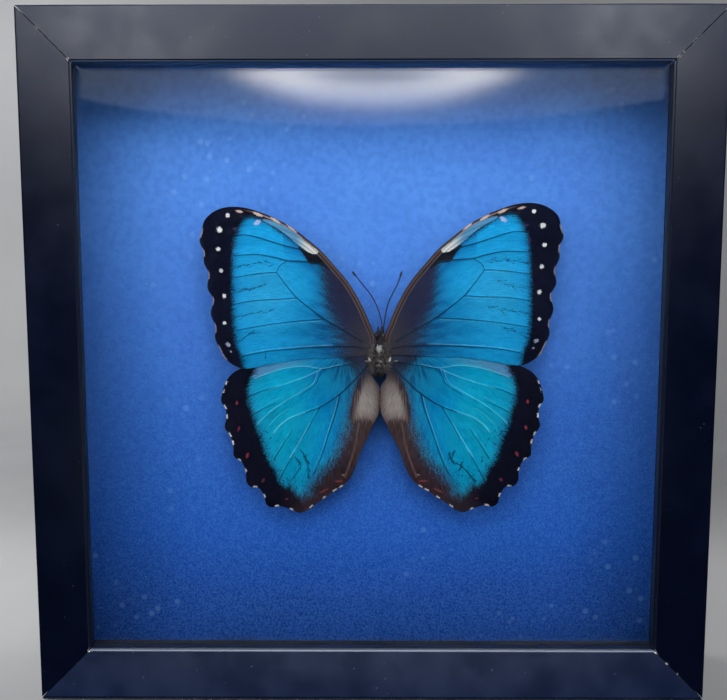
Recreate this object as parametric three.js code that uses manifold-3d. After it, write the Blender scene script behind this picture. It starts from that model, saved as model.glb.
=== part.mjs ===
// A blue morpho butterfly mounted in a square shadow-box frame.
// Units are millimetres. +Z is up, +X is to the right seen from the front, and the front faces -Y.
// The origin is the centre of the frame's underside.

import * as THREE from 'three';
import { mergeVertices } from 'three/addons/utils/BufferGeometryUtils.js';
import Module from 'manifold-3d';

// Frame: mitred mouldings with a flat face, a fine bead at the sight edge and a deep wall behind.
const FRAME_WIDTH = 229;
const FRAME_HEIGHT = 231;
const FRAME_DEPTH = 38;
const FACE_WIDTH = 17.0;
const SIGHT_WIDTH = 17.8;
const LIP_DEPTH = 3.4;
const WALL_THICKNESS = 6;
const ARRIS_RADIUS = 0.8;
const BEAD_GROOVE_WIDTH = 0.35;
const BEAD_GROOVE_DEPTH = 0.6;
const MITRE_SETBACK = 0.2;

// Layers of the box, each measured back from the frame's front face.
const FIT_GAP = 0.3;
const GLAZING_THICKNESS = 2;
const BACKING_FRONT = 26.8;
const PAPER_THICKNESS = 0.8;
const BOARD_THICKNESS = 3;
const PANEL_CLEARANCE = 0.6;
const SPACER_THICKNESS = 2.5;
const PAD_RADIUS = 3.2;

// Fittings on the back.
const TAB_LENGTH = 13;
const TAB_WIDTH = 6;
const TAB_THICKNESS = 0.6;
const TAB_STRAIGHT = 7.8;
const TAB_SPACING = 110;
const HANGER_BELOW_TOP = 34;
const HANGER_LENGTH = 44;
const HANGER_HEIGHT = 9;
const HANGER_THICKNESS = 0.9;
const HANGER_RISE = 1.8;
const HANGER_FOOT = 6.5;
const TOOTH_WIDTH = 3;
const TOOTH_HEIGHT = 1.4;
const TOOTH_COUNT = 7;
const SCREW_SPACING = 38;
const SCREW_RADIUS = 0.9;
const SCREW_HOLE_RADIUS = 1.3;
const SCREW_HEAD_RADIUS = 2.1;
const SCREW_HEAD_HEIGHT = 1.1;
const SCREW_BITE = 2.1;

// Specimen: where the middle of the thorax lies, and the depth of each wing plane.
const BODY_X = 2.9;
const BODY_Z = 119.8;
const FOREWING_Y = -0.6;
const HINDWING_Y = 0.1;
const WING_THICKNESS = 0.3;
const LEFT_STRETCH = 0.985;
const RIGHT_STRETCH = 1.015;
const FOREWING_TURN = 0.7;
const HINDWING_TURN = 0.3;
const THORAX_LENGTH = 12.6;
const THORAX_WIDTH = 7.4;
const THORAX_DEPTH = 6;
const THORAX_Y = 1;
const THORAX_BELOW = 3.2;
const HEAD_RADIUS = 1.6;
const HEAD_ABOVE = 5.3;
const HEAD_Y = 0.4;
const ANTENNA_RADIUS = 0.2;
const CLUB_RADIUS = 0.42;
const CLUB_LENGTH = 2.4;

// Thorax from its waist to its neck: share of the full radius, and share of the half length.
const THORAX_PROFILE = [
  [0, -1], [0.55, -0.9], [0.9, -0.45], [1, 0.1], [0.88, 0.6], [0.5, 0.93], [0, 1],
];

// Right forewing outline from the body outwards, across and up: costa, scalloped margin, inner edge.
const FOREWING_OUTLINE = [
  [2.4, 2.5], [3.6, 9.5], [7.0, 17.4], [11.2, 24.4], [15.8, 29.9], [20.3, 35.0], [25.4, 39.3],
  [31.0, 43.5], [37.2, 46.9], [43.0, 49.2], [48.3, 50.6], [53.7, 50.8], [58.5, 49.3], [62.0, 46.2],
  [63.1, 42.1], [63.9, 39.1], [62.5, 35.3], [62.6, 31.7], [61.0, 27.6], [61.6, 22.8], [59.7, 18.6],
  [60.7, 13.7], [59.1, 8.8], [59.4, 4.9], [57.5, 0.6], [56.2, -2.0], [53.2, -4.6], [50.0, -5.9],
  [46.0, -5.8], [38.2, -4.4], [28.2, -3.0], [18.0, -2.6], [8.0, -1.9], [2.4, -1.6],
];

// Right hindwing outline: front edge under the forewing, scalloped margin, inner edge beside the body.
const HINDWING_OUTLINE = [
  [2.6, -3.6], [8.0, 0.2], [20.0, 1.6], [34.0, 0.6], [44.0, -3.2], [49.7, -5.9], [53.4, -7.9],
  [55.9, -10.8], [57.4, -15.0], [57.9, -18.2], [56.4, -20.8], [56.2, -24.6], [56.8, -27.6],
  [54.8, -30.8], [53.8, -34.8], [53.6, -38.2], [51.0, -40.2], [49.5, -43.8], [49.3, -47.6],
  [47.8, -49.4], [44.9, -49.8], [42.8, -52.9], [42.1, -55.8], [40.4, -57.0], [37.1, -56.6],
  [33.4, -57.7], [30.1, -59.1], [27.5, -58.5], [24.6, -56.4], [20.6, -53.7], [16.7, -51.0],
  [14.0, -49.4], [11.5, -47.0], [9.4, -43.3], [7.4, -37.5], [4.3, -31.0], [1.6, -25.0],
  [0.7, -19.5], [1.0, -14.5], [2.4, -9.5],
];

// Antennae, from the brow to the club: right of the body's middle, in front of it, and up.
const LEFT_ANTENNA = [
  [0.3, -0.3, 6.9], [0.8, -0.8, 8.8], [-0.1, -1.4, 13.0], [-1.4, -1.8, 16.4], [-3.0, -2.0, 19.3],
  [-5.9, -2.2, 23.0], [-9.0, -2.4, 26.8],
];
const RIGHT_ANTENNA = [
  [1.0, -0.3, 6.8], [1.4, -0.8, 8.6], [2.1, -1.4, 13.0], [3.0, -1.8, 16.7], [4.9, -2.0, 20.8],
  [6.6, -2.2, 24.2], [7.3, -2.4, 26.6],
];

const FRONT_Y = -FRAME_DEPTH / 2;
const GLAZING_DEPTH = LIP_DEPTH + FIT_GAP;
const SPACER_FRONT = GLAZING_DEPTH + GLAZING_THICKNESS + FIT_GAP;
const SPACER_DEPTH = BACKING_FRONT - FIT_GAP - SPACER_FRONT;
const BOARD_FRONT = BACKING_FRONT + PAPER_THICKNESS + FIT_GAP;
const BOARD_BACK = BOARD_FRONT + BOARD_THICKNESS;
const PANEL_WIDTH = FRAME_WIDTH - 2 * WALL_THICKNESS - 2 * PANEL_CLEARANCE;
const PANEL_HEIGHT = FRAME_HEIGHT - 2 * WALL_THICKNESS - 2 * PANEL_CLEARANCE;
const CENTRE_Z = FRAME_HEIGHT / 2;
const OUTLINE_STEPS = 150;
const ROUND_STEPS = 20;
const THORAX_STEPS = 24;
const THORAX_SIDES = 28;

const wasm = await Module();
wasm.setup();

const satinBlack = { color: 0x0b1220, roughness: 0.38, metalness: 0 };
const clearSheet = { color: 0xf4f8fb, roughness: 0.05, metalness: 0, transparent: true, opacity: 0.2 };
const blackCard = { color: 0x15171c, roughness: 0.85, metalness: 0 };
const bluePaper = { color: 0x2b5fbf, roughness: 0.8, metalness: 0 };
const brownBoard = { color: 0x6d4f35, roughness: 0.85, metalness: 0 };
const steel = { color: 0xb9bcc0, roughness: 0.35, metalness: 1 };
const blueWing = { color: 0x1a8fc4, roughness: 0.45, metalness: 0.3 };
const bodyFur = { color: 0x3a342c, roughness: 0.9, metalness: 0 };
const darkHorn = { color: 0x17140f, roughness: 0.5, metalness: 0 };
const blackFoam = { color: 0x202226, roughness: 0.95, metalness: 0 };

const model = new THREE.Group();

function addPiece(parent, name, geometry, look) {
  const mesh = new THREE.Mesh(geometry, new THREE.MeshStandardMaterial(look));
  mesh.name = name;
  parent.add(mesh);
  return mesh;
}

// A closed mesh becomes a solid that can be cut or joined.
function toSolid(geometry) {
  const bare = geometry.clone();
  bare.deleteAttribute('normal');
  bare.deleteAttribute('uv');
  const merged = mergeVertices(bare, 1e-4);
  const vertProperties = new Float32Array(merged.attributes.position.array);
  const triVerts = new Uint32Array(merged.index.array);
  return new wasm.Manifold(new wasm.Mesh({ numProp: 3, vertProperties, triVerts }));
}

function toGeometry(solid) {
  const mesh = solid.getMesh();
  const geometry = new THREE.BufferGeometry();
  geometry.setAttribute('position', new THREE.BufferAttribute(mesh.vertProperties, 3));
  geometry.setIndex(new THREE.BufferAttribute(mesh.triVerts, 1));
  geometry.computeVertexNormals();
  return geometry;
}

// A flat plate drawn across and up (X and Z), with its front face at y = 0 and its back at y = thickness.
function uprightPlate(shape, thickness) {
  const geometry = new THREE.ExtrudeGeometry(shape, { depth: thickness, bevelEnabled: false });
  geometry.rotateX(Math.PI / 2);
  geometry.translate(0, thickness, 0);
  return geometry;
}

function rectangle(width, height) {
  const shape = new THREE.Shape();
  shape.moveTo(-width / 2, -height / 2);
  shape.lineTo(width / 2, -height / 2);
  shape.lineTo(width / 2, height / 2);
  shape.lineTo(-width / 2, height / 2);
  shape.closePath();
  return shape;
}

// Section of the moulding: x runs inwards from the outer edge, y runs back from the front face.
function mouldingSection() {
  const beadStart = FACE_WIDTH + BEAD_GROOVE_WIDTH;
  const beadRadius = SIGHT_WIDTH - beadStart;
  const section = new THREE.Shape();
  section.moveTo(0, FRAME_DEPTH);
  section.lineTo(0, ARRIS_RADIUS);
  section.absarc(ARRIS_RADIUS, ARRIS_RADIUS, ARRIS_RADIUS, Math.PI, 1.5 * Math.PI, false);
  section.lineTo(FACE_WIDTH, 0);
  section.lineTo(FACE_WIDTH, BEAD_GROOVE_DEPTH);
  section.lineTo(beadStart, BEAD_GROOVE_DEPTH);
  section.absarc(beadStart, BEAD_GROOVE_DEPTH + beadRadius, beadRadius, 1.5 * Math.PI, 2 * Math.PI, false);
  section.lineTo(SIGHT_WIDTH, LIP_DEPTH);
  section.lineTo(WALL_THICKNESS, LIP_DEPTH);
  section.lineTo(WALL_THICKNESS, FRAME_DEPTH);
  section.closePath();
  return section;
}

// A rail lies along X with its outer edge on z = 0 and its body above; its ends are cut at 45 degrees.
function railGeometry(length) {
  const geometry = new THREE.ExtrudeGeometry(mouldingSection(), {
    depth: 1, bevelEnabled: false, curveSegments: 6,
  });
  const place = geometry.attributes.position;
  for (let i = 0; i < place.count; i += 1) {
    const inward = place.getX(i);
    const back = place.getY(i);
    const half = length / 2 - inward - MITRE_SETBACK;
    const along = place.getZ(i) < 0.5 ? half : -half;
    place.setXYZ(i, along, FRONT_Y + back, inward);
  }
  geometry.computeVertexNormals();
  return geometry;
}

function addFrame() {
  const rails = [
    { name: 'rail_bottom', length: FRAME_WIDTH, turn: 0, x: 0, z: 0 },
    { name: 'rail_top', length: FRAME_WIDTH, turn: Math.PI, x: 0, z: FRAME_HEIGHT },
    { name: 'rail_left', length: FRAME_HEIGHT, turn: Math.PI / 2, x: -FRAME_WIDTH / 2, z: CENTRE_Z },
    { name: 'rail_right', length: FRAME_HEIGHT, turn: -Math.PI / 2, x: FRAME_WIDTH / 2, z: CENTRE_Z },
  ];
  for (const { name, length, turn, x, z } of rails) {
    const rail = addPiece(model, name, railGeometry(length), satinBlack);
    rail.rotation.y = turn;
    rail.position.set(x, 0, z);
  }
}

function addPanel(name, front, shape, thickness, look) {
  const panel = addPiece(model, name, uprightPlate(shape, thickness), look);
  panel.position.set(0, FRONT_Y + front, CENTRE_Z);
  return panel;
}

function boardShape() {
  const shape = rectangle(PANEL_WIDTH, PANEL_HEIGHT);
  for (const side of [-1, 1]) {
    const hole = new THREE.Path();
    hole.absarc(side * SCREW_SPACING / 2, hangerUp(), SCREW_HOLE_RADIUS, 0, 2 * Math.PI, true);
    shape.holes.push(hole);
  }
  return shape;
}

function addPanels() {
  addPanel('glazing', GLAZING_DEPTH, rectangle(PANEL_WIDTH, PANEL_HEIGHT), GLAZING_THICKNESS, clearSheet);
  addPanel('backing_paper', BACKING_FRONT, rectangle(PANEL_WIDTH, PANEL_HEIGHT), PAPER_THICKNESS, bluePaper);
  addPanel('backing_board', BOARD_FRONT, boardShape(), BOARD_THICKNESS, brownBoard);
}

// Strips around the inside keep the backing away from the glazing.
function addSpacers() {
  const y = FRONT_Y + SPACER_FRONT + SPACER_DEPTH / 2;
  const across = (PANEL_WIDTH - SPACER_THICKNESS) / 2;
  const up = (PANEL_HEIGHT - SPACER_THICKNESS) / 2;
  const sideHeight = PANEL_HEIGHT - 2 * SPACER_THICKNESS - 2 * FIT_GAP;
  const strips = [
    { name: 'spacer_top', x: 0, z: CENTRE_Z + up, width: PANEL_WIDTH, height: SPACER_THICKNESS },
    { name: 'spacer_bottom', x: 0, z: CENTRE_Z - up, width: PANEL_WIDTH, height: SPACER_THICKNESS },
    { name: 'spacer_left', x: -across, z: CENTRE_Z, width: SPACER_THICKNESS, height: sideHeight },
    { name: 'spacer_right', x: across, z: CENTRE_Z, width: SPACER_THICKNESS, height: sideHeight },
  ];
  for (const { name, x, z, width, height } of strips) {
    const strip = addPiece(model, name, new THREE.BoxGeometry(width, SPACER_DEPTH, height), blackCard);
    strip.position.set(x, y, z);
  }
}

// A tab is a thin pointed plate; it is drawn pointing up and turned to point inwards over the board.
function tabGeometry() {
  const shape = new THREE.Shape();
  shape.moveTo(-TAB_WIDTH / 2, 0);
  shape.lineTo(TAB_WIDTH / 2, 0);
  shape.lineTo(TAB_WIDTH / 2, TAB_STRAIGHT);
  shape.quadraticCurveTo(TAB_WIDTH / 2, TAB_LENGTH, 0, TAB_LENGTH);
  shape.quadraticCurveTo(-TAB_WIDTH / 2, TAB_LENGTH, -TAB_WIDTH / 2, TAB_STRAIGHT);
  shape.closePath();
  return uprightPlate(shape, TAB_THICKNESS);
}

function addTabs() {
  const across = FRAME_WIDTH / 2 - WALL_THICKNESS - FIT_GAP;
  const up = FRAME_HEIGHT / 2 - WALL_THICKNESS - FIT_GAP;
  const sides = [
    { side: 'bottom', turn: 0, x: 0, z: -up },
    { side: 'top', turn: Math.PI, x: 0, z: up },
    { side: 'left', turn: Math.PI / 2, x: -across, z: 0 },
    { side: 'right', turn: -Math.PI / 2, x: across, z: 0 },
  ];
  for (const { side, turn, x, z } of sides) {
    for (const place of [1, 2]) {
      const slide = (place - 1.5) * TAB_SPACING;
      const tab = addPiece(model, `tab_${side}_${place}`, tabGeometry(), steel);
      tab.rotation.y = turn;
      tab.position.set(
        x === 0 ? slide : x,
        FRONT_Y + BOARD_BACK + FIT_GAP,
        CENTRE_Z + (z === 0 ? slide : z),
      );
    }
  }
}

function hangerUp() {
  return FRAME_HEIGHT / 2 - HANGER_BELOW_TOP;
}

function disc(radius, thickness) {
  return new THREE.CylinderGeometry(radius, radius, thickness, ROUND_STEPS);
}

// The hanger is a strip with flat feet and a raised middle, whose lower edge is cut into teeth.
function hangerGeometry() {
  const half = HANGER_LENGTH / 2;
  const rampStart = half - HANGER_FOOT;
  const rampEnd = rampStart - HANGER_RISE;
  const strip = new THREE.Shape();
  strip.moveTo(-half, 0);
  strip.lineTo(-rampStart, 0);
  strip.lineTo(-rampEnd, HANGER_RISE);
  strip.lineTo(rampEnd, HANGER_RISE);
  strip.lineTo(rampStart, 0);
  strip.lineTo(half, 0);
  strip.lineTo(half, HANGER_THICKNESS);
  strip.lineTo(rampStart, HANGER_THICKNESS);
  strip.lineTo(rampEnd, HANGER_RISE + HANGER_THICKNESS);
  strip.lineTo(-rampEnd, HANGER_RISE + HANGER_THICKNESS);
  strip.lineTo(-rampStart, HANGER_THICKNESS);
  strip.lineTo(-half, HANGER_THICKNESS);
  strip.closePath();
  const bar = new THREE.ExtrudeGeometry(strip, { depth: HANGER_HEIGHT, bevelEnabled: false });
  bar.translate(0, 0, -HANGER_HEIGHT / 2);
  let solid = toSolid(bar);
  for (let tooth = 0; tooth < TOOTH_COUNT; tooth += 1) {
    const x = (tooth - (TOOTH_COUNT - 1) / 2) * TOOTH_WIDTH;
    const notch = new THREE.Shape();
    notch.moveTo(x - TOOTH_WIDTH / 2 + FIT_GAP, -HANGER_HEIGHT);
    notch.lineTo(x + TOOTH_WIDTH / 2 - FIT_GAP, -HANGER_HEIGHT);
    notch.lineTo(x + TOOTH_WIDTH / 2 - FIT_GAP, -HANGER_HEIGHT / 2);
    notch.lineTo(x, -HANGER_HEIGHT / 2 + TOOTH_HEIGHT);
    notch.lineTo(x - TOOTH_WIDTH / 2 + FIT_GAP, -HANGER_HEIGHT / 2);
    notch.closePath();
    const cutter = uprightPlate(notch, HANGER_RISE + 2 * HANGER_THICKNESS);
    solid = solid.subtract(toSolid(cutter));
  }
  for (const side of [-1, 1]) {
    const drill = disc(SCREW_HOLE_RADIUS, 2 * (HANGER_THICKNESS + HANGER_RISE));
    drill.translate(side * SCREW_SPACING / 2, 0, 0);
    solid = solid.subtract(toSolid(drill));
  }
  return toGeometry(solid);
}

// Domed head on a pointed shank; the profile runs along the screw from its tip to the top of its head.
function screwGeometry() {
  const shank = FIT_GAP + HANGER_THICKNESS + FIT_GAP + SCREW_BITE;
  const profile = [
    new THREE.Vector2(0, -shank),
    new THREE.Vector2(SCREW_RADIUS, -shank + SCREW_RADIUS),
    new THREE.Vector2(SCREW_RADIUS, 0),
    new THREE.Vector2(SCREW_HEAD_RADIUS, 0),
    new THREE.Vector2(SCREW_HEAD_RADIUS * 0.8, SCREW_HEAD_HEIGHT * 0.75),
    new THREE.Vector2(SCREW_HEAD_RADIUS * 0.4, SCREW_HEAD_HEIGHT),
    new THREE.Vector2(0, SCREW_HEAD_HEIGHT),
  ];
  return new THREE.LatheGeometry(profile, ROUND_STEPS);
}

function addHanger() {
  const fitting = new THREE.Group();
  fitting.position.set(0, FRONT_Y + BOARD_BACK + FIT_GAP, CENTRE_Z + hangerUp());
  addPiece(fitting, 'hanger', hangerGeometry(), steel);
  for (const [name, side] of [['hanger_screw_left', -1], ['hanger_screw_right', 1]]) {
    const screw = addPiece(fitting, name, screwGeometry(), steel);
    screw.position.set(side * SCREW_SPACING / 2, HANGER_THICKNESS + FIT_GAP, 0);
  }
  model.add(fitting);
}

// The thorax is a rounded barrel, widest above its middle and flattened from front to back; grow swells it.
function thoraxGeometry(grow) {
  const half = THORAX_LENGTH / 2 + grow;
  const radius = THORAX_WIDTH / 2 + grow;
  const knots = THORAX_PROFILE.map(([out, along]) => new THREE.Vector2(radius * out, half * along));
  const profile = new THREE.SplineCurve(knots).getPoints(THORAX_STEPS);
  profile[0].x = 0;
  profile[profile.length - 1].x = 0;
  const geometry = new THREE.LatheGeometry(profile, THORAX_SIDES);
  geometry.scale(1, 1, THORAX_DEPTH / THORAX_WIDTH);
  geometry.rotateX(Math.PI / 2);
  geometry.translate(0, THORAX_Y, -THORAX_BELOW);
  return geometry;
}

function antennaGeometry(route) {
  const path = new THREE.CatmullRomCurve3(route.map(([x, y, z]) => new THREE.Vector3(x, y, z)));
  const section = new THREE.Shape();
  section.absarc(0, 0, ANTENNA_RADIUS, 0, 2 * Math.PI, false);
  const shaft = new THREE.ExtrudeGeometry(section, {
    steps: 36, extrudePath: path, curveSegments: 8, bevelEnabled: false,
  });
  const club = new THREE.SphereGeometry(CLUB_RADIUS, 12, 10);
  club.scale(1, CLUB_LENGTH / (2 * CLUB_RADIUS), 1);
  const direction = path.getTangent(1);
  club.applyQuaternion(new THREE.Quaternion().setFromUnitVectors(new THREE.Vector3(0, 1, 0), direction));
  const tip = path.getPoint(1);
  club.translate(tip.x, tip.y, tip.z);
  return toGeometry(toSolid(shaft).add(toSolid(club)));
}

// One wing as a thin plate, cut back to clear the thorax; turn is its small rise at the outer side.
function wingGeometry(outline, side, stretch, turn, y) {
  const points = outline.map(([x, z]) => new THREE.Vector3(x * side * stretch, z, 0));
  const curve = new THREE.CatmullRomCurve3(points, true, 'centripetal');
  const margin = curve.getPoints(OUTLINE_STEPS).slice(0, -1);
  const shape = new THREE.Shape(margin.map(({ x, y: up }) => new THREE.Vector2(x, up)));
  const plate = uprightPlate(shape, WING_THICKNESS);
  plate.rotateY(-THREE.MathUtils.degToRad(turn));
  plate.translate(0, y, 0);
  return toGeometry(toSolid(plate).subtract(toSolid(thoraxGeometry(FIT_GAP))));
}

function addSpecimen() {
  const specimen = new THREE.Group();
  specimen.position.set(BODY_X, 0, BODY_Z);
  const sides = [
    { word: 'left', side: -1, stretch: LEFT_STRETCH },
    { word: 'right', side: 1, stretch: RIGHT_STRETCH },
  ];
  for (const { word, side, stretch } of sides) {
    const fore = wingGeometry(FOREWING_OUTLINE, side, stretch, FOREWING_TURN, FOREWING_Y);
    const hind = wingGeometry(HINDWING_OUTLINE, side, stretch, HINDWING_TURN, HINDWING_Y);
    addPiece(specimen, `forewing_${word}`, fore, blueWing);
    addPiece(specimen, `hindwing_${word}`, hind, blueWing);
  }
  addPiece(specimen, 'thorax', thoraxGeometry(0), bodyFur);
  const head = addPiece(specimen, 'head', new THREE.SphereGeometry(HEAD_RADIUS, 20, 14), bodyFur);
  head.position.set(0, HEAD_Y, HEAD_ABOVE);
  addPiece(specimen, 'antenna_left', antennaGeometry(LEFT_ANTENNA), darkHorn);
  addPiece(specimen, 'antenna_right', antennaGeometry(RIGHT_ANTENNA), darkHorn);
  model.add(specimen);
}

// A small foam disc holds the thorax off the backing.
function addMountingPad() {
  const padFront = THORAX_Y + THORAX_DEPTH / 2 + FIT_GAP;
  const padBack = FRONT_Y + BACKING_FRONT - FIT_GAP;
  const pad = addPiece(model, 'mounting_pad', disc(PAD_RADIUS, padBack - padFront), blackFoam);
  pad.position.set(BODY_X, (padFront + padBack) / 2, BODY_Z - THORAX_BELOW);
}

addFrame();
addPanels();
addSpacers();
addTabs();
addHanger();
addSpecimen();
addMountingPad();

export default model;
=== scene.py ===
"""Looks of a framed blue morpho butterfly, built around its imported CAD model.

Lengths are metres in the CAD model's frame: +Z is up, +X is to the right and the front faces -Y.
The patterns and hairs are the exception: they are in millimetres, across and up from the body point.
One forewing and one hindwing are drawn, as seen on the right, and mirrored for the left side.
"""
import math

import bpy
import numpy as np
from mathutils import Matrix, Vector, noise
from mathutils.geometry import delaunay_2d_cdt


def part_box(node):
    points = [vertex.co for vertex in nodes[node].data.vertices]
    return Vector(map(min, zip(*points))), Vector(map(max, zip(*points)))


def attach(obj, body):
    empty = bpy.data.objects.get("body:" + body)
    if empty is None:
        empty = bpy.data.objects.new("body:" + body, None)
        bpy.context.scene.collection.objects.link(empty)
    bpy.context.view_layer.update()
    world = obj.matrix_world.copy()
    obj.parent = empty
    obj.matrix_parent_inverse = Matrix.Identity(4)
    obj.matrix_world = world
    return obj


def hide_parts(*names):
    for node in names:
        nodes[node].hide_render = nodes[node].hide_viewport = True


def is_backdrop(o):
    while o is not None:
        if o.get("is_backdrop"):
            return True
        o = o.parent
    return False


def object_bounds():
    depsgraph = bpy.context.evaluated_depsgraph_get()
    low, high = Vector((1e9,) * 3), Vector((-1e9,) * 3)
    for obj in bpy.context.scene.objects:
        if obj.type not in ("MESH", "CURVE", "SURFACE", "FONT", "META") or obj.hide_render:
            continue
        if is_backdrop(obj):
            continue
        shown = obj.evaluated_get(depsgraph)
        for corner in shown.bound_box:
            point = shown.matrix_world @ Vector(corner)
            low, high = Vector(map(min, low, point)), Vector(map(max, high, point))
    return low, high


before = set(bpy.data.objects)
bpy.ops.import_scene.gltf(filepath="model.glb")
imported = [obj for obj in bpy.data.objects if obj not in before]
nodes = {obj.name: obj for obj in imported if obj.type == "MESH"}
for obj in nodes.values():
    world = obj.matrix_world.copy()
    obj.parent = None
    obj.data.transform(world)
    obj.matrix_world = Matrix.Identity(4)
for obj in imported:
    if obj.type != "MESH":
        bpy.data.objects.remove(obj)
cad_low, cad_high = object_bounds()

MM = 0.001
SEED = 7

# The camera stands where the photograph's was: 727 x 700 pixels, level with the middle of the picture.
CAMERA_PLACE = (-0.00167, -0.25974, 0.13231)
CAMERA_DOWN = 5.111
CAMERA_LEFT = 0.267
CAMERA_SENSOR = 36.0
CAMERA_LENS = 36.0
CAMERA_SHIFT = 30 / 727

# The body point, where the wings meet, across and up; and each wing's small stretch and turn.
BODY = np.array([0.0029, 0.1198])
STRETCH = {"left": 0.985, "right": 1.015}
TURN = {"forewing": 0.7, "hindwing": 0.3}
WING_STEP = 0.25
WING_THICKNESS = 0.12

# Values that keep the blue field, the lines and the marks off a place.
NO_FIELD = -6.0
NO_LINE = 4.0
NO_MARK = 6.0

# The frame's mouldings: from the outer edge to the sight edge, from there to the arris that the foil
# turns over, and how ragged the chips in the foil are, as a multiple of their radius.
SIGHT_WIDTH = 0.0178
ARRIS = 0.0007
CHIP_RAGGEDNESS = 4 / 3

# Glazing that bows towards the viewer, except for a flat margin under the frame's lip.
GLAZING_BOW = 0.0015
GLAZING_MARGIN = 0.0105
GLAZING_CELLS = 48

# The studio window that the glazing reflects: its place in front, half width, foot, top of its finer rows
# and top, how many columns it has, where its glow starts, and the lowest point of its bowed strip of light,
# across and up.
WINDOW_Y = -0.70
WINDOW_HALF = 0.9
WINDOW_FOOT, WINDOW_FINE, WINDOW_TOP = 0.36, 0.56, 0.80
WINDOW_COLUMNS = 90
WINDOW_SILL = 0.402
WINDOW_STRIP = (0.01, 0.453)

# ------------------------------------------------------------------ wing patterns, in millimetres

COSTA_ENDS = [(2.4, 2.5), (50.0, 50.8)]
FORE_FIELD = [
    (46.0, 46.7), (48.3, 44.7), (50.1, 41.4), (51.1, 38.0), (51.7, 33.5), (52.1, 27.5), (52.2, 21.0),
    (52.2, 14.0), (52.0, 7.5), (51.3, 2.7), (49.8, -1.3), (49.0, -4.9), (46.0, -8.5), (30.0, -6.5),
    (20.0, -6.0), (15.6, -5.0), (14.6, 0.0), (15.0, 4.2), (16.0, 8.0), (17.6, 12.0), (18.8, 16.5),
    (19.6, 21.5), (20.3, 26.0), (21.2, 30.6), (24.8, 31.4), (26.6, 33.8), (28.2, 36.3), (31.8, 39.3),
    (37.4, 43.4), (42.4, 46.2),
]
FORE_BAR = [
    (28.4, 36.4), (25.2, 35.0), (22.5, 34.8), (19.3, 33.0), (17.5, 28.5), (20.8, 30.6), (24.6, 31.2),
    (26.0, 33.5),
]
FORE_WEDGE = [
    (21.6, 34.9), (24.0, 34.3), (29.0, 37.6), (34.6, 42.2), (41.4, 46.2), (38.0, 46.0), (31.6, 42.8),
    (25.6, 38.2),
]
# Each line: half width at its start and at its end, then its points.
FORE_DARK = [
    (0.30, 0.17, [(25.6, 35.2), (33.0, 37.0), (39.8, 39.1), (46.2, 40.9), (51.5, 41.0)]),
    (0.34, 0.16, [(20.5, 30.8), (25.0, 31.4), (32.5, 31.9), (36.4, 32.9), (43.5, 34.2), (52.0, 33.9)]),
    (0.14, 0.14, [(32.5, 31.9), (35.4, 30.2), (36.6, 27.9)]),
    (0.16, 0.15, [(36.6, 27.9), (40.0, 27.8), (45.8, 27.2), (52.0, 26.2)]),
    (0.16, 0.34, [
        (36.6, 27.9), (33.4, 23.6), (29.7, 19.1), (25.0, 15.2), (19.8, 11.3), (13.2, 7.5), (6.0, 3.2),
    ]),
    (0.15, 0.14, [(29.7, 18.9), (36.0, 18.5), (45.0, 18.1), (52.2, 16.9)]),
    (0.15, 0.14, [(20.0, 11.3), (29.5, 10.7), (41.2, 9.4), (52.2, 7.6)]),
    (0.28, 0.16, [(1.7, 0.2), (5.0, 0.7), (10.0, 1.5), (20.2, 1.4), (30.8, 0.9), (41.4, 0.0), (49.5, -1.5)]),
    (0.45, 0.40, [(26.2, 35.9), (31.5, 39.9), (37.2, 43.9), (42.4, 46.8), (48.5, 47.4)]),
]
# Painted shade: short dark creases near the margin, between the veins, where the wing folds.
FORE_CREASE_SHADE = [
    (0.04, 0.10, [(37.2, 31.2), (44.0, 31.1), (51.8, 30.1)]),
    (0.04, 0.10, [(40.5, 23.8), (46.5, 22.2), (52.0, 20.9)]),
    (0.04, 0.10, [(37.5, 15.1), (45.0, 13.7), (52.0, 12.3)]),
    (0.04, 0.10, [(42.5, 7.8), (48.2, 5.6), (52.2, 3.4)]),
]
# Painted highlights: pale lines on the lit side of the veins.
FORE_PAINTED_HIGHLIGHTS = [
    (0.12, 0.10, [(17.0, 2.1), (20.2, 2.0), (30.8, 1.5), (41.4, 0.6), (49.0, -0.8)]),
    (0.12, 0.05, [(37.2, 27.3), (40.0, 27.2), (45.8, 26.6), (50.0, 26.0)]),
    (0.12, 0.05, [(30.5, 18.3), (36.0, 17.9), (45.0, 17.5), (50.0, 16.7)]),
    (0.12, 0.05, [(21.0, 10.6), (29.5, 10.1), (41.2, 8.8), (50.0, 7.4)]),
]
MARK_COLOURS = {
    "white": (216, 216, 206), "silver": (150, 160, 178), "cream": (194, 166, 150), "lilac": (150, 165, 205),
    "mauve": (46, 42, 72), "red": (142, 48, 58), "dull_red": (112, 50, 54), "tan": (120, 96, 88),
}
# Marks: across, up, half length, half height, tilt in degrees, colour name.
FORE_MARKS = [
    (53.6, 47.9, 0.72, 0.66, 0, "white"), (56.6, 43.0, 0.95, 0.85, 40, "white"),
    (57.3, 36.3, 0.75, 0.66, 0, "white"), (56.5, 28.8, 0.72, 0.66, 0, "white"),
    (55.7, 19.9, 0.66, 0.74, 0, "white"), (55.8, 10.4, 0.58, 0.60, 0, "white"),
    (54.7, 2.7, 0.85, 0.65, 40, "silver"), (53.8, 0.2, 0.40, 0.35, 0, "silver"),
    (49.4, 49.2, 1.30, 0.40, 12, "cream"), (42.9, 48.2, 1.70, 0.50, 22, "cream"),
    (36.7, 46.0, 1.90, 0.45, 31, "cream"), (30.8, 43.0, 2.20, 0.30, 38, "cream"),
    (43.1, 45.3, 1.30, 0.70, -30, "lilac"),
    (50.9, 43.2, 0.90, 0.55, 0, "mauve"), (52.1, 37.9, 0.60, 0.80, 0, "mauve"),
]
FORE_SCRATCHES = {"left": [(0.08, 0.16, [(41.3, -0.2), (41.4, -2.5)])], "right": []}
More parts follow.
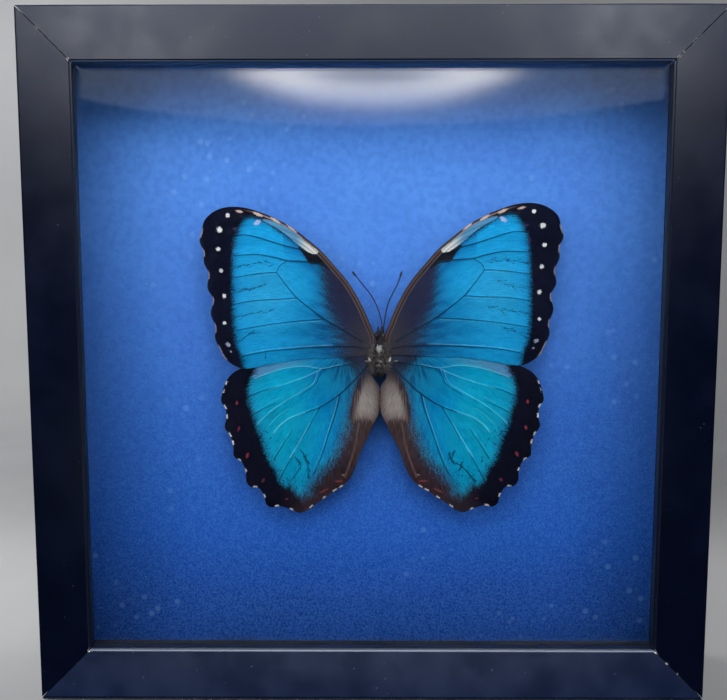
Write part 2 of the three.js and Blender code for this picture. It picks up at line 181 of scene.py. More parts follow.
FORE_NOTCHES = [
    (62.6, 41.8), (62.2, 35.2), (60.8, 27.4), (59.5, 18.2), (59.1, 8.7), (57.8, 1.1), (56.5, -1.7),
]

# The point that the hindwing's scales fan out from.
HIND_FAN = (12.0, 1.0)
HIND_FIELD = [
    (44.6, -6.0), (45.2, -7.6), (47.2, -12.1), (47.4, -17.5), (46.0, -22.5), (45.0, -27.0), (43.0, -31.9),
    (41.4, -38.0), (38.4, -43.2), (36.8, -47.0), (34.9, -49.2), (33.0, -48.4), (31.9, -50.2), (29.8, -52.2),
    (27.4, -51.4), (25.8, -48.8),
    (22.0, -44.0), (17.5, -38.8), (14.3, -32.5), (12.2, -26.4), (10.8, -19.4), (9.6, -13.0), (9.0, -9.0),
    (12.0, -5.2), (15.0, -1.5), (18.0, 4.0), (34.0, 4.0), (45.0, 0.0),
]
HIND_BAND = [
    (15.0, -3.2), (21.0, -6.2), (27.2, -5.4), (34.0, -6.0), (40.6, -8.0), (45.6, -9.9), (47.0, -5.0),
    (34.0, 3.0), (18.0, 3.0),
]
HIND_PATCH = [
    (9.6, -25.8), (9.6, -21.0), (8.4, -15.5), (5.8, -9.8), (3.4, -7.6), (1.0, -10.4), (-0.5, -18.0),
    (0.0, -23.5), (2.6, -26.3), (6.0, -25.6),
]
# Dark lines: the veins, and painted shade on the shaded side of the veins that carry painted highlights.
HIND_DARK = [
    (0.36, 0.20, [(4.6, -5.8), (10.4, -11.8), (14.6, -15.7), (21.6, -20.2), (27.0, -22.2)]),
    (0.18, 0.12, [(21.6, -20.2), (25.2, -26.1), (28.4, -31.7)]),
    (0.10, 0.20, [(31.5, -36.8), (35.5, -43.9), (37.6, -48.0)]),
    (0.20, 0.14, [(14.6, -15.9), (16.0, -22.0), (18.5, -29.3), (20.7, -36.0), (23.0, -42.0), (25.0, -45.5)]),
    (0.05, 0.20, [(31.9, -28.5), (36.2, -35.0), (38.8, -39.2)]),
    (0.08, 0.18, [(38.0, -13.0), (43.0, -14.4), (48.0, -16.6)]),
    (0.05, 0.18, [(38.0, -18.6), (41.5, -20.2), (45.5, -22.4)]),
    (0.12, 0.10, [(21.0, -7.3), (22.2, -9.9), (23.6, -12.4), (29.0, -16.0)]),
    (0.22, 0.10, [(3.0, -3.2), (8.5, -4.6), (14.5, -5.6), (21.1, -6.9)]),
]
# Painted highlights: pale lines on the lit side of the veins and along folds that catch the light.
HIND_PAINTED_HIGHLIGHTS = [
    (0.10, 0.18, [(14.5, -5.1), (21.1, -6.4), (27.2, -5.6), (34.0, -6.2), (40.6, -8.1), (45.4, -9.9)]),
    (0.14, 0.10, [(21.4, -6.9), (27.0, -9.4), (34.0, -11.8), (40.5, -13.9)]),
    (0.10, 0.16, [
        (22.6, -7.6), (23.4, -9.9), (24.8, -12.2), (29.9, -15.5), (35.7, -18.9), (40.8, -22.6),
        (45.0, -26.6),
    ]),
    (0.10, 0.28, [(26.0, -21.6), (29.5, -23.0), (33.0, -24.3), (36.5, -26.8), (38.8, -29.6)]),
    (0.10, 0.10, [(33.6, -20.9), (37.4, -23.6), (40.6, -27.0)]),
    (0.12, 0.26, [(25.6, -26.1), (28.8, -31.7), (30.8, -35.0), (33.0, -38.6)]),
    (0.14, 0.08, [(15.2, -16.5), (16.6, -22.0), (19.1, -29.3), (21.3, -36.0), (24.6, -43.5)]),
    (0.10, 0.05, [(32.5, -28.3), (36.8, -34.8)]),
    (0.10, 0.10, [(36.5, -16.9), (41.0, -18.9)]),
]
# The fold near the inner margin; a pale line along it is painted as a highlight where the folded wing
# catches the light.
HIND_FOLD = [(7.7, -26.5), (9.5, -36.0), (13.0, -46.0)]
HIND_SCRATCHES = {
    "left": [
        (0.16, 0.30, [(29.3, -35.6), (27.6, -38.4), (26.4, -40.9)]),
        (0.14, 0.22, [(26.4, -40.4), (26.5, -43.0), (26.3, -46.4)]),
        (0.16, 0.30, [(31.2, -38.4), (29.2, -41.4)]),
        (0.14, 0.10, [(29.2, -42.1), (31.0, -44.6), (33.0, -47.6)]),
    ],
    "right": [
        (0.34, 0.28, [(24.6, -37.2), (25.4, -39.6), (26.2, -40.4)]),
        (0.18, 0.26, [(25.4, -40.4), (29.3, -42.4), (33.9, -48.0)]),
        (0.22, 0.14, [(29.4, -40.6), (27.9, -44.2)]),
        (0.20, 0.12, [(26.6, -36.4), (25.6, -39.4)]),
    ],
}
HIND_MARKS = [
    (52.2, -18.7, 0.42, 0.75, 10, "red"), (51.7, -28.1, 0.42, 0.80, 15, "red"),
    (48.7, -37.8, 0.50, 0.95, 20, "red"), (43.1, -47.1, 0.50, 0.75, 30, "dull_red"),
    (34.5, -54.0, 0.60, 0.35, 0, "dull_red"), (15.3, -47.5, 1.50, 0.36, 0, "dull_red"),
    (20.8, -51.0, 1.80, 0.36, -25, "dull_red"), (13.6, -45.2, 0.60, 0.34, -20, "tan"),
]
HIND_NOTCHES = [
    (55.5, -11.8), (56.3, -14.7), (56.7, -20.3), (56.0, -23.6), (54.9, -30.2), (54.0, -33.3), (51.8, -39.9),
    (49.9, -43.4), (46.1, -49.8), (43.1, -52.9), (38.1, -56.8), (33.0, -58.1), (25.4, -56.9), (20.5, -53.7),
    (16.6, -50.8), (14.3, -49.7),
]


# ------------------------------------------------------------------ body, in millimetres

# Pale tufts on the thorax, in millimetres from the body point: across, up, width, height, how many hairs,
# which way they lie in degrees, colour.
BODY_TUFTS = [
    (-0.2, 0.9, 0.75, 1.0, 170, -95, (206, 206, 198)),
    (-0.3, -1.0, 0.45, 0.45, 26, -60, (112, 110, 100)),
    (-3.9, -2.8, 0.16, 0.40, 46, -58, (228, 226, 218)),
    (3.8, -2.9, 0.16, 0.45, 50, -124, (232, 232, 226)),
    (-0.4, -3.6, 0.55, 0.22, 40, -25, (196, 196, 188)),
    (0.1, -5.1, 0.40, 0.18, 20, -150, (150, 150, 142)),
    (-4.9, -3.6, 0.60, 0.30, 34, -20, (128, 110, 114)),
    (5.9, -3.6, 0.60, 0.20, 14, -160, (140, 136, 132)),
]

# What is left of the CAD thorax and head under their hair, as shares of their sizes. Then the corners of
# each hair, and how far below the surface the hairs are rooted, in metres.
THORAX_CORE = 0.86
HEAD_CORE = 0.9
HAIR_CORNERS = 7
COAT_SUNK = 0.0007
HAIR_SUNK = 0.0002


# ------------------------------------------------------------------ small tools

def srgb(red, green, blue):
    """Linear colour of a display colour given in steps of 255."""
    shares = np.array([red, green, blue]) / 255
    return np.where(shares <= 0.04045, shares / 12.92, ((shares + 0.055) / 1.055) ** 2.4)


def smooth_step(low, high, value):
    """From 0 at low to 1 at high, or the other way where low is the greater."""
    share = np.clip((value - low) / (high - low), 0, 1)
    return share * share * (3 - 2 * share)


def spline(points, step, closed=False):
    """Points at even steps along a Catmull-Rom curve through the given ones."""
    given = np.asarray(points, float)
    if closed:
        given = np.vstack([given[-1], given, given[:2]])
    else:
        given = np.vstack([2 * given[0] - given[1], given, 2 * given[-1] - given[-2]])
    share = np.linspace(0, 1, 24, endpoint=False)[:, None]
    pieces = []
    for p0, p1, p2, p3 in zip(given, given[1:], given[2:], given[3:]):
        bend = 2 * p0 - 5 * p1 + 4 * p2 - p3
        twist = 3 * (p1 - p2) + p3 - p0
        pieces.append(0.5 * (2 * p1 + (p2 - p0) * share + bend * share ** 2 + twist * share ** 3))
    curve = np.vstack(pieces + [given[-2:-1]])
    along = np.concatenate([[0], np.cumsum(np.linalg.norm(np.diff(curve, axis=0), axis=1))])
    count = max(2, round(along[-1] / step) + 1)
    places = np.linspace(0, along[-1], count)
    even = np.column_stack([np.interp(places, along, curve[:, axis]) for axis in range(curve.shape[1])])
    return even[:-1] if closed else even


def turned(points, angle):
    """Rows of across and up, turned counter-clockwise."""
    x, z = np.transpose(points)
    cosine, sine = math.cos(angle), math.sin(angle)
    return np.transpose([x * cosine - z * sine, x * sine + z * cosine])


def distance_to_line(points, line):
    """Distance from each point to a polyline, and how far along it, 0 to 1, the nearest place is."""
    best = np.full(len(points), 1e9)
    along = np.zeros(len(points))
    for index, (start, end) in enumerate(zip(line, line[1:])):
        run = end - start
        share = np.clip(((points - start) @ run) / max(run @ run, 1e-12), 0, 1)
        distance = np.linalg.norm(points - start - share[:, None] * run, axis=1)
        nearer = distance < best
        best[nearer] = distance[nearer]
        along[nearer] = (index + share[nearer]) / (len(line) - 1)
    return best, along


def depth_inside(points, ring):
    """Distance from each point to a closed outline, positive inside it."""
    loop = np.vstack([ring, ring[:1]])
    depth, _ = distance_to_line(points, loop)
    inside = np.zeros(len(points), bool)
    for (x0, z0), (x1, z1) in zip(loop, loop[1:]):
        crosses = (z0 > points[:, 1]) != (z1 > points[:, 1])
        reach = x0 + (points[:, 1] - z0) * (x1 - x0) / ((z1 - z0) or 1e-12)
        inside ^= crosses & (points[:, 0] < reach)
    return np.where(inside, depth, -depth)


def region_depth(points, region, step=1.0):
    """Distance from each point to the smooth outline through a region's points, positive inside it."""
    return depth_inside(points, spline(region, step, closed=True))


def line_field(points, lines):
    """How many half widths each point is from the nearest of some tapering lines."""
    field = np.full(len(points), NO_LINE)
    for start_width, end_width, route in lines:
        line = spline(route, 0.5)
        low, high = line.min(0) - 2, line.max(0) + 2
        close = np.all((points > low) & (points < high), axis=1)
        distance, along = distance_to_line(points[close], line)
        width = start_width + (end_width - start_width) * along
        field[close] = np.minimum(field[close], distance / width)
    return field


def rough(points, size, seed):
    """Smooth noise around 0 over points in millimetres, with bumps of the given size."""
    return np.array([noise.noise((x / size, z / size, seed)) for x, z in points])


def grid_faces(columns, rows):
    """Faces over a grid of that many columns and rows of them, with its corners row by row."""
    faces = []
    for row in range(rows):
        for start in range(row * (columns + 1), row * (columns + 1) + columns):
            above = start + columns + 1
            faces.append((start, start + 1, above + 1, above))
    return faces


def sheet_faces(front, count):
    """Faces of a closed sheet with these in front; each back corner comes count later."""
    sides = {}
    for face in front:
        for start, end in zip(face, (*face[1:], face[0])):
            if sides.pop((end, start), None) is None:
                sides[(start, end)] = (end, start, start + count, end + count)
    back = [tuple(corner + count for corner in reversed(face)) for face in front]
    return [*front, *back, *sides.values()]


def make_object(name, vertices, faces, material, **attributes):
    """A smooth mesh; attributes of a value or a colour per vertex are stored for its material."""
    mesh = bpy.data.meshes.new(name)
    mesh.from_pydata(np.asarray(vertices).tolist(), [], [list(map(int, face)) for face in faces])
    for key, values in attributes.items():
        values = np.asarray(values, np.float32)
        if values.ndim == 1:
            mesh.attributes.new(key, "FLOAT", "POINT").data.foreach_set("value", values)
        else:
            colours = np.column_stack([values, np.ones(len(values), np.float32)])
            mesh.attributes.new(key, "FLOAT_COLOR", "POINT").data.foreach_set("color", colours.ravel())
    mesh.polygons.foreach_set("use_smooth", [True] * len(mesh.polygons))
    mesh.materials.append(material)
    piece = bpy.data.objects.new(name, mesh)
    bpy.context.scene.collection.objects.link(piece)
    return piece


def finish_piece(piece, node):
    """Let a new piece stand for a CAD node."""
    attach(piece, "root")
    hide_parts(node)


# ------------------------------------------------------------------ materials

class Look:
    """One procedural material: its principled shader, and short calls that add nodes."""

    def __init__(self, name, **plain):
        self.material = bpy.data.materials.new(name)
        self.material.use_nodes = True
        self.tree = self.material.node_tree
        self.shader = self.tree.nodes["Principled BSDF"]
        for socket, value in plain.items():
            self.shader.inputs[socket.replace("_", " ")].default_value = value

    def put(self, socket, value):
        if isinstance(value, bpy.types.NodeSocket):
            self.tree.links.new(value, socket)
        elif socket.type == "RGBA":
            socket.default_value = (*value, 1.0)
        else:
            socket.default_value = value

    def drive(self, socket, value):
        self.put(self.shader.inputs[socket], value)

    def node(self, kind, inputs, **settings):
        added = self.tree.nodes.new("ShaderNode" + kind)
        for key, value in settings.items():
            setattr(added, key, value)
        for key, value in inputs.items():
            self.put(added.inputs[key], value)
        return added

    def attribute(self, name):
        return self.node("Attribute", {}, attribute_name=name).outputs["Fac"]

    def tint(self, name):
        return self.node("Attribute", {}, attribute_name=name).outputs["Color"]

    def place(self, stretch=(1, 1, 1)):
        here = self.node("TexCoord", {}).outputs["Object"]
        return self.node("Mapping", {"Vector": here, "Scale": stretch}).outputs["Vector"]

    def axis(self, which):
        here = self.node("TexCoord", {}).outputs["Object"]
        return self.node("SeparateXYZ", {"Vector": here}).outputs[which]

    def pair(self, first, second):
        return self.node("CombineXYZ", {"X": first, "Y": second}).outputs["Vector"]

    def noise(self, scale, detail=3.0, stretch=(1, 1, 1), at=None):
        where = at or self.place(stretch)
        return self.node("TexNoise", {"Vector": where, "Scale": scale, "Detail": detail}).outputs["Fac"]

    def spots(self, scale):
        return self.node("TexVoronoi", {"Vector": self.place(), "Scale": scale}).outputs["Distance"]

    def vector(self, operation, inputs):
        return self.node("VectorMath", inputs, operation=operation)

    def math(self, operation, first, second=0.0):
        return self.node("Math", {0: first, 1: second}, operation=operation).outputs[0]

    def times(self, first, second):
        return self.math("MULTIPLY", first, second)

    def plus(self, first, second):
        return self.math("ADD", first, second)

    def minus(self, first, second):
        return self.math("SUBTRACT", first, second)

    def ramp(self, value, low, high, start=0.0, end=1.0):
        inputs = {"Value": value, "From Min": low, "From Max": high, "To Min": start, "To Max": end}
        return self.node("MapRange", inputs, interpolation_type="SMOOTHSTEP").outputs["Result"]

    def mix(self, factor, first, second, blend="MIX"):
        added = self.node("Mix", {0: factor}, data_type="RGBA", blend_type=blend)
        self.put(added.inputs[6], first)
        self.put(added.inputs[7], second)
        return added.outputs[2]

    def shift(self, value, low, high, first, second):
        """A colour that goes from the first to the second, in steps of 255, while the value rises."""
        return self.mix(self.ramp(value, low, high), srgb(*first), srgb(*second))

    def lay(self, under, value, low, high, weight, colour):
        """A colour laid over another, by up to the given weight while the value goes from low to high."""
        return self.mix(self.ramp(value, low, high, 0.0, weight), under, srgb(*colour))

    def lay_spots(self, under, spots, weight, colour):
        return self.mix(self.times(spots, weight), under, srgb(*colour))

    def rare_spots(self, scale, size, patches, rarity):
        """Round spots that show only in the patches where a coarser noise is high."""
        spots = self.ramp(self.spots(scale), *size)
        return self.times(spots, self.ramp(self.noise(*patches), *rarity))

    def finished(self, colour, height, distance, strength):
        """The material, once its colour and its bumps are in place."""
        inputs = {"Height": height, "Distance": distance, "Strength": strength}
        self.drive("Normal", self.node("Bump", inputs).outputs["Normal"])
        self.drive("Base Color", colour)
        return self.material


def foil_look():
    """Satin black foil over the mouldings: fine pores, dust, chips at the mitres, and painted light at the
    sight edge.
    """
    look = Look("satin_black_foil", Specular_IOR_Level=0.3)
    pores = look.noise(5200, 2)
    cloud = look.noise(60, 4)
    dust = look.rare_spots(420, (0.10, 0.04), (150, 2), (0.56, 0.66))
    colour = look.shift(cloud, 0.3, 0.7, (2, 9, 30), (4, 13, 38))
    past, on_top, on_foot = sight_edge(look)
    # Painted reflection: the faces past the sight edge take a navy blue that stands for the blue paper
    # mirrored in them, lighter on the top rail.
    lip_painted_reflection = look.mix(on_top, srgb(15, 23, 40), srgb(42, 68, 106))
    colour = look.mix(look.ramp(past, ARRIS, ARRIS - 0.0002), colour, lip_painted_reflection)
    # Painted highlight: a pale line along the front edge of the sight opening, brightest on the bottom rail
    # and absent on the top one.
    arris = look.ramp(look.math("ABSOLUTE", look.minus(past, ARRIS + 0.00002)), 0.00016, 0.00008)
    arris = look.times(arris, look.minus(1.0, on_top))
    colour = look.mix(arris, colour, look.mix(on_foot, srgb(38, 40, 54), srgb(116, 118, 132)))
    colour = look.lay_spots(colour, dust, 0.55, (120, 130, 150))
    ragged = look.times(look.minus(look.noise(1800, 3), 0.5), CHIP_RAGGEDNESS)
    for start, end, radius in frame_chips():
        distance = look.plus(segment_distance(look, start, end), look.times(ragged, radius))
        colour = look.mix(look.ramp(distance, radius, radius * 0.6), colour, srgb(186, 174, 166))
    look.drive("Roughness", look.ramp(cloud, 0.3, 0.7, 0.28, 0.36))
    return look.finished(colour, look.plus(pores, look.times(dust, 0.6)), 0.00002, 0.6)


def sight_edge(look):
    """How far the surface is outside the sight edge, and whether it is by the top rail or the bottom one."""
    middle, half = (cad_low + cad_high) / 2, (cad_high - cad_low) / 2
    past_side = look.math("ABSOLUTE", look.minus(look.axis("X"), middle.x))
    past_top = look.math("ABSOLUTE", look.minus(look.axis("Z"), middle.z))
    past_side = look.minus(past_side, half.x - SIGHT_WIDTH)
    past_top = look.minus(past_top, half.z - SIGHT_WIDTH)
    past = look.math("MAXIMUM", past_side, past_top)
    top, foot = cad_high.z - SIGHT_WIDTH, cad_low.z + SIGHT_WIDTH
    on_top = look.ramp(look.axis("Z"), top - 0.001, top)
    on_foot = look.ramp(look.axis("Z"), foot + 0.0003, foot)
    return past, on_top, on_foot


def segment_distance(look, start, end):
    """Distance from the surface to a segment on the frame's front, its ends given across and up."""
    first = Vector((start[0], cad_low.y, start[1]))
    run = Vector((end[0], cad_low.y, end[1])) - first
    offset = look.vector("SUBTRACT", {0: look.place(), 1: first}).outputs["Vector"]
    share = look.vector("DOT_PRODUCT", {0: offset, 1: run / run.length_squared}).outputs["Value"]
    reached = look.vector("SCALE", {0: run, "Scale": look.ramp(share, 0.0, 1.0)}).outputs["Vector"]
    return look.vector("DISTANCE", {0: offset, 1: reached}).outputs["Value"]


def frame_chips():
    """Where the foil is chipped along the mitres: both ends, across and up, and radius.

    Each row: side, top or foot, how far in from the corner the chip starts and stops, radius.
    """
    half = (cad_high.x - cad_low.x) / 2
    chips = []
    for side, end, near_inside, near_outside, radius in (
        (-1, 1, 0.0178, 0.0168, 0.0005), (-1, 1, 0.0076, 0.0070, 0.0003),
        (1, 1, 0.0178, 0.0150, 0.0004), (1, 1, 0.0120, 0.0100, 0.0003),
        (-1, -1, 0.0178, 0.0170, 0.0005), (1, -1, 0.0180, 0.0168, 0.0005),
        (1, -1, 0.0168, 0.0092, 0.00036), (1, -1, 0.0080, 0.0056, 0.0002),
    ):
        ends = []
        for inset in (near_inside, near_outside):
            ends.append((side * (half - inset), cad_high.z - inset if end == 1 else inset))
        chips.append((*ends, radius))
    return chips


def paper_look():
    """Blue backing paper: soft mottling, fibres, water marks, pale specks, and painted shade that darkens it
    lower down.
    """
    look = Look("blue_backing_paper", Roughness=0.75, Specular_IOR_Level=0.12)
    height = look.axis("Z")
    # Painted shade: the paper goes from light at the top to darker lower down as the light falls off, and
    # darker still in a band just above the bottom rail.
    colour = look.shift(height, cad_low.z + 0.02, cad_high.z - 0.03, (0, 80, 182), (84, 140, 222))
    foot = look.ramp(height, cad_low.z + 0.016, cad_low.z + 0.06, 0.62, 0.0)
    colour = look.mix(foot, colour, srgb(8, 34, 96))
    cloud = look.noise(28, 5)
    fibres = look.noise(1500, 4)
    colour = look.lay(colour, cloud, 0.25, 0.75, 0.22, (24, 76, 186))
    colour = look.lay(colour, fibres, 0.3, 0.7, 0.34, (88, 148, 230))
    colour = look.lay(colour, look.noise(420, 3), 0.35, 0.7, 0.24, (36, 84, 180))
    blots = look.ramp(look.plus(look.spots(170), look.times(fibres, 0.3)), 0.38, 0.28)
    blots = look.times(blots, look.ramp(look.noise(24, 2), 0.50, 0.60))
    colour = look.lay_spots(colour, blots, 0.2, (150, 190, 240))
    grains = look.rare_spots(520, (0.09, 0.03), (260, 1), (0.60, 0.66))
    colour = look.lay_spots(colour, grains, 0.8, (190, 210, 240))
    return look.finished(colour, look.plus(fibres, look.times(cloud, 0.6)), 0.00006, 0.5)


def card_look():
    """Black card of the spacer strips, with a faint fibre."""
    look = Look("black_card", Roughness=0.85)
    fibres = look.noise(1600, 4, (1, 0.25, 1))
    return look.finished(look.shift(fibres, 0.3, 0.7, (13, 17, 27), (28, 34, 48)), fibres, 0.00005, 0.6)


def board_look():
    """Brown hardboard at the back: pressed fibres, darker flecks and a slightly worn surface."""
    look = Look("brown_hardboard", Roughness=0.8)
    fibres = look.noise(1400, 6, (1, 1, 0.5))
    colour = look.shift(fibres, 0.3, 0.7, (92, 62, 38), (142, 104, 70))
    colour = look.lay(colour, look.noise(35, 4), 0.35, 0.7, 0.5, (104, 72, 46))
    flecks = look.rare_spots(700, (0.16, 0.06), (320, 2), (0.55, 0.65))
    colour = look.mix(flecks, colour, srgb(58, 38, 24))
    return look.finished(colour, fibres, 0.0001, 0.7)


def steel_look():
    """Zinc-plated steel of the tabs and hanger, with brushing and dull patches."""
    look = Look("plated_steel", Metallic=1.0)
    brush = look.noise(2600, 3, (0.08, 1, 1))
    cloud = look.noise(240, 3)
    look.drive("Roughness", look.ramp(look.plus(brush, cloud), 0.7, 1.3, 0.22, 0.46))
    colour = look.shift(cloud, 0.3, 0.7, (168, 170, 172), (206, 207, 206))
    return look.finished(colour, brush, 0.00002, 0.4)


def foam_look():
    """Black foam of the mounting pad, full of small open cells."""
    look = Look("black_foam", Roughness=0.95)
    cells = look.spots(1900)
    return look.finished(look.shift(cells, 0.1, 0.5, (10, 11, 14), (40, 42, 48)), cells, 0.0002, 0.9)


def glass_look():
    """Clear acrylic glazing with the faintest haze of dust."""
    look = Look("clear_glazing", Transmission_Weight=1.0, IOR=1.49)
    haze = look.ramp(look.noise(40, 3), 0.3, 0.7)
    look.drive("Base Color", look.mix(haze, (0.97, 0.985, 0.99), (0.99, 0.995, 1.0)))
    look.drive("Roughness", look.ramp(look.noise(900, 2), 0.72, 0.8, 0.0, 0.02))
    return look.material


def horn_look():
    """Dark antenna: blue-black rings with paler joints."""
    look = Look("antenna_horn", Roughness=0.5)
    inputs = {"Vector": look.place(), "Scale": 420.0, "Distortion": 0.6}
    rings = look.node("TexWave", inputs, bands_direction="Z").outputs["Fac"]
    return look.finished(look.shift(rings, 0.2, 0.8, (9, 10, 26), (30, 30, 48)), rings, 0.00003, 0.6)


def hair_look():
    """Hair and scales of the body, coloured hair by hair."""
    look = Look("body_hair", Specular_IOR_Level=0.4)
    strands = look.noise(3800, 2, (1, 1, 0.3))
    shade = look.ramp(strands, 0.25, 0.75, 0.75, 1.2)
    look.drive("Roughness", look.attribute("dull"))
    return look.finished(look.mix(1.0, look.tint("tint"), shade, "MULTIPLY"), strands, 0.00003, 0.5)


def wing_look():
    """Wing scales: a blue field over a dark ground, powdery at its edges and streaked along the flow, with
    painted highlights and shade along some lines.
    """
    look = Look("wing_scales", Specular_IOR_Level=0.07)
    flow = look.attribute("flow")
    reach = look.attribute("reach")
    streak = look.noise(2.3, 4, at=look.pair(flow, look.times(reach, 0.13)))
    patchy = look.noise(0.32, 3, at=look.pair(flow, look.times(reach, 0.35)))
    grain = look.noise(3400, 3)

    ragged = look.times(look.minus(streak, 0.5), 1.6)
    dusted = look.times(look.minus(grain, 0.5), 3.6)
    cover = look.ramp(look.plus(look.attribute("edge"), look.plus(ragged, dusted)), -1.1, 1.1)

    shade = look.ramp(streak, 0.25, 0.75, 0.74, 1.10)
    shade = look.times(shade, look.ramp(grain, 0.3, 0.7, 0.84, 1.16))
    blue = look.mix(1.0, look.tint("field"), shade, "MULTIPLY")
    blue = look.mix(look.ramp(patchy, 0.35, 0.65, 0.0, 0.5), blue, look.tint("second"))
    ground = look.mix(1.0, look.tint("ground"), look.ramp(streak, 0.25, 0.75, 0.72, 1.35), "MULTIPLY")
    colour = look.mix(cover, ground, blue)

    # Painted highlights from the light lines; then the dark lines, which are the veins together with painted
    # shade in the creases and beside the lit veins.
    colour = look.lay(colour, look.attribute("light"), 1.5, 0.5, 0.38, (128, 204, 226))
    colour = look.lay(colour, look.attribute("dark"), 1.6, 0.6, 0.78, (12, 34, 52))
    speckle = look.times(look.minus(grain, 0.5), 2.2)
    mark = look.ramp(look.plus(look.attribute("mark"), speckle), 1.15, 0.85)
    colour = look.mix(mark, colour, look.tint("mark_tint"))

    bare = look.minus(cover, look.times(mark, cover))
    look.drive("Metallic", look.times(bare, 0.25))
    look.drive("Roughness", look.ramp(bare, 0.0, 1.0, 0.66, 0.42))
    return look.finished(colour, look.plus(streak, look.times(grain, 0.2)), 0.00004, 0.5)


# ------------------------------------------------------------------ wings

def cad_front_outline(node):
    """The outline of a CAD plate's front face, in order, as rows of across and up."""
    mesh = nodes[node].data
    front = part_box(node)[0].y
    seen = {}
    for face in mesh.polygons:
        corners = [mesh.vertices[index].co for index in face.vertices]
        if max(abs(corner.y - front) for corner in corners) > 0.01 * MM:
            continue
        keys = [(round(corner.x, 7), round(corner.z, 7)) for corner in corners]
        for start, end in zip(keys, keys[1:] + keys[:1]):
            if (end, start) in seen:
                del seen[(end, start)]
            else:
                seen[(start, end)] = True
    following = {start: end for start, end in seen if start != end}
    loops = []
    while following:
        ring = [next(iter(following))]
        while ring[-1] in following:
            ring.append(following.pop(ring[-1]))
        loops.append(ring[:-1])
    return np.array(max(loops, key=len))


def to_drawing(points, side, kind):
    """Metres on the frame to millimetres on the drawn wing."""
    drawn = turned((points - BODY) / MM, -math.radians(TURN[kind]))
    return drawn * ((-1 if side == "left" else 1) / STRETCH[side], 1)


def to_frame(points, side, kind):
    """Millimetres on the drawn wing to metres on the frame."""
    stretched = points * ((-1 if side == "left" else 1) * STRETCH[side], 1)
    return BODY + turned(stretched, math.radians(TURN[kind])) * MM


def wing_triangles(outline, lines):
    """Points and triangles over a wing, with points on its margin and along its veins."""
    low, high = outline.min(0), outline.max(0)
    columns = np.arange(low[0], high[0], WING_STEP)
    rows = np.arange(low[1], high[1], WING_STEP * math.sqrt(3) / 2)
    across, up = np.meshgrid(columns, rows)
    across[1::2] += WING_STEP / 2
    grid = np.column_stack([across.ravel(), up.ravel()])
    depth = depth_inside(grid, outline[::3])
    routes = []
    for _, _, route in lines:
        line = spline(route, WING_STEP)
        line = line[depth_inside(line, outline) > WING_STEP]
        if len(line) > 2:
            routes.append(line)
    clear = line_field(grid, [(1.0, 1.0, route[::4]) for route in routes])
    grid = grid[(depth > 0.6 * WING_STEP) & (clear > 0.55 * WING_STEP)]
    edges = [(index, (index + 1) % len(outline)) for index in range(len(outline))]
    points = [outline]
    start = len(outline)
    for line in routes:
        edges += [(start + index, start + index + 1) for index in range(len(line) - 1)]
        points.append(line)
        start += len(line)
    points.append(grid)
    inside_only, merge_distance = 1, 1e-5
    points = [Vector(point) for point in np.vstack(points)]
    found = delaunay_2d_cdt(points, edges, [], inside_only, merge_distance)
    return np.array([tuple(point) for point in found[0]]), np.array([tuple(face) for face in found[2]])


def colour_fill(count, colour):
    return np.tile(colour, (count, 1))


def paint(colours, weight, colour):
    """Lay a colour over others, by a weight from 0 to 1, the same everywhere or one for each point."""
    return colours + (colour - colours) * np.reshape(weight, (-1, 1))


def painted(count, base, *layers):
    """Colours for a count of points: a base under layers of a weight and a colour, in steps of 255."""
    colours = colour_fill(count, srgb(*base))
    for weight, colour in layers:
        colours = paint(colours, weight, srgb(*colour))
    return colours


def near(points, x, z, radius):
    distance = np.hypot(points[:, 0] - x, points[:, 1] - z)
    return 1 - smooth_step(0, radius, distance)


def mark_fields(points, marks):
    """Distance to the nearest mark, in its own half sizes, and that mark's colour."""
    field = np.full(len(points), NO_MARK)
    colours = colour_fill(len(points), srgb(*MARK_COLOURS["white"]))
    for x, z, length, height, tilt, name in marks:
        offset = turned(points - (x, z), -math.radians(tilt)) / (length, height)
        distance = np.hypot(*offset.T)
        nearer = distance < field
        field[nearer] = distance[nearer]
        colours[nearer] = srgb(*MARK_COLOURS[name])
    return field, colours


def add_region(field, colours, region, colour):
    """Puts a region's own distance field and colour among the marks where it is the nearer one."""
    nearer = region < field
    field[nearer] = region[nearer]
    colours[nearer] = colour[nearer]


def fringe(points, margin, notches, length, width, field, colours, colour):
    """Pale scales along the margin at its notches."""
    for x, z in notches:
        away = np.hypot(points[:, 0] - x, points[:, 1] - z) / length
        region = np.maximum(away, margin / width)
        add_region(field, colours, region, colour_fill(len(points), colour))


def feathers(lines, random):
    """Short fine strokes that fan off some lines: rubbed scales along scratches, and painted shade along
    creases.
    """
    strokes = []
    for _, _, route in lines:
        line = spline(route, 0.9)
        for start, end in zip(line, line[1:]):
            turn = random.uniform(-0.5, 0.5)
            run = (end - start) * random.uniform(1.2, 2.6)
            step = turned(run, turn)
            first = start + random.uniform(-0.6, 0.6, 2)
            strokes.append((0.05, 0.12, [first, first + step / 2, first + step]))
    return strokes


def flecks(count, random):
    """Short dark strokes scattered over the lower part of the hindwing's blue field, near its border."""
    places = random.uniform((28, -50), (45, -27), (count * 3, 2))
    depth = region_depth(places, HIND_FIELD)
    strokes = []
    for place in places[(depth > 0.3) & (depth < 5.0)][:count]:
        turn = random.uniform(0, math.pi)
        run = np.array([math.cos(turn), math.sin(turn)]) * random.uniform(0.15, 0.45)
        strokes.append((0.11, 0.16, [place - run, place, place + run]))
    return strokes


def costa_distance(points, outline):
    """Distance from each point to the forewing's leading margin."""
    start, end = [np.argmin(np.hypot(*(outline - place).T)) for place in COSTA_ENDS]
    run = np.arange(start, end) if start < end else np.arange(start, end, -1)
    if abs(end - start) > len(outline) / 2:
        run = np.concatenate([np.arange(max(start, end), len(outline)), np.arange(0, min(start, end))])
    return distance_to_line(points, outline[run])[0]


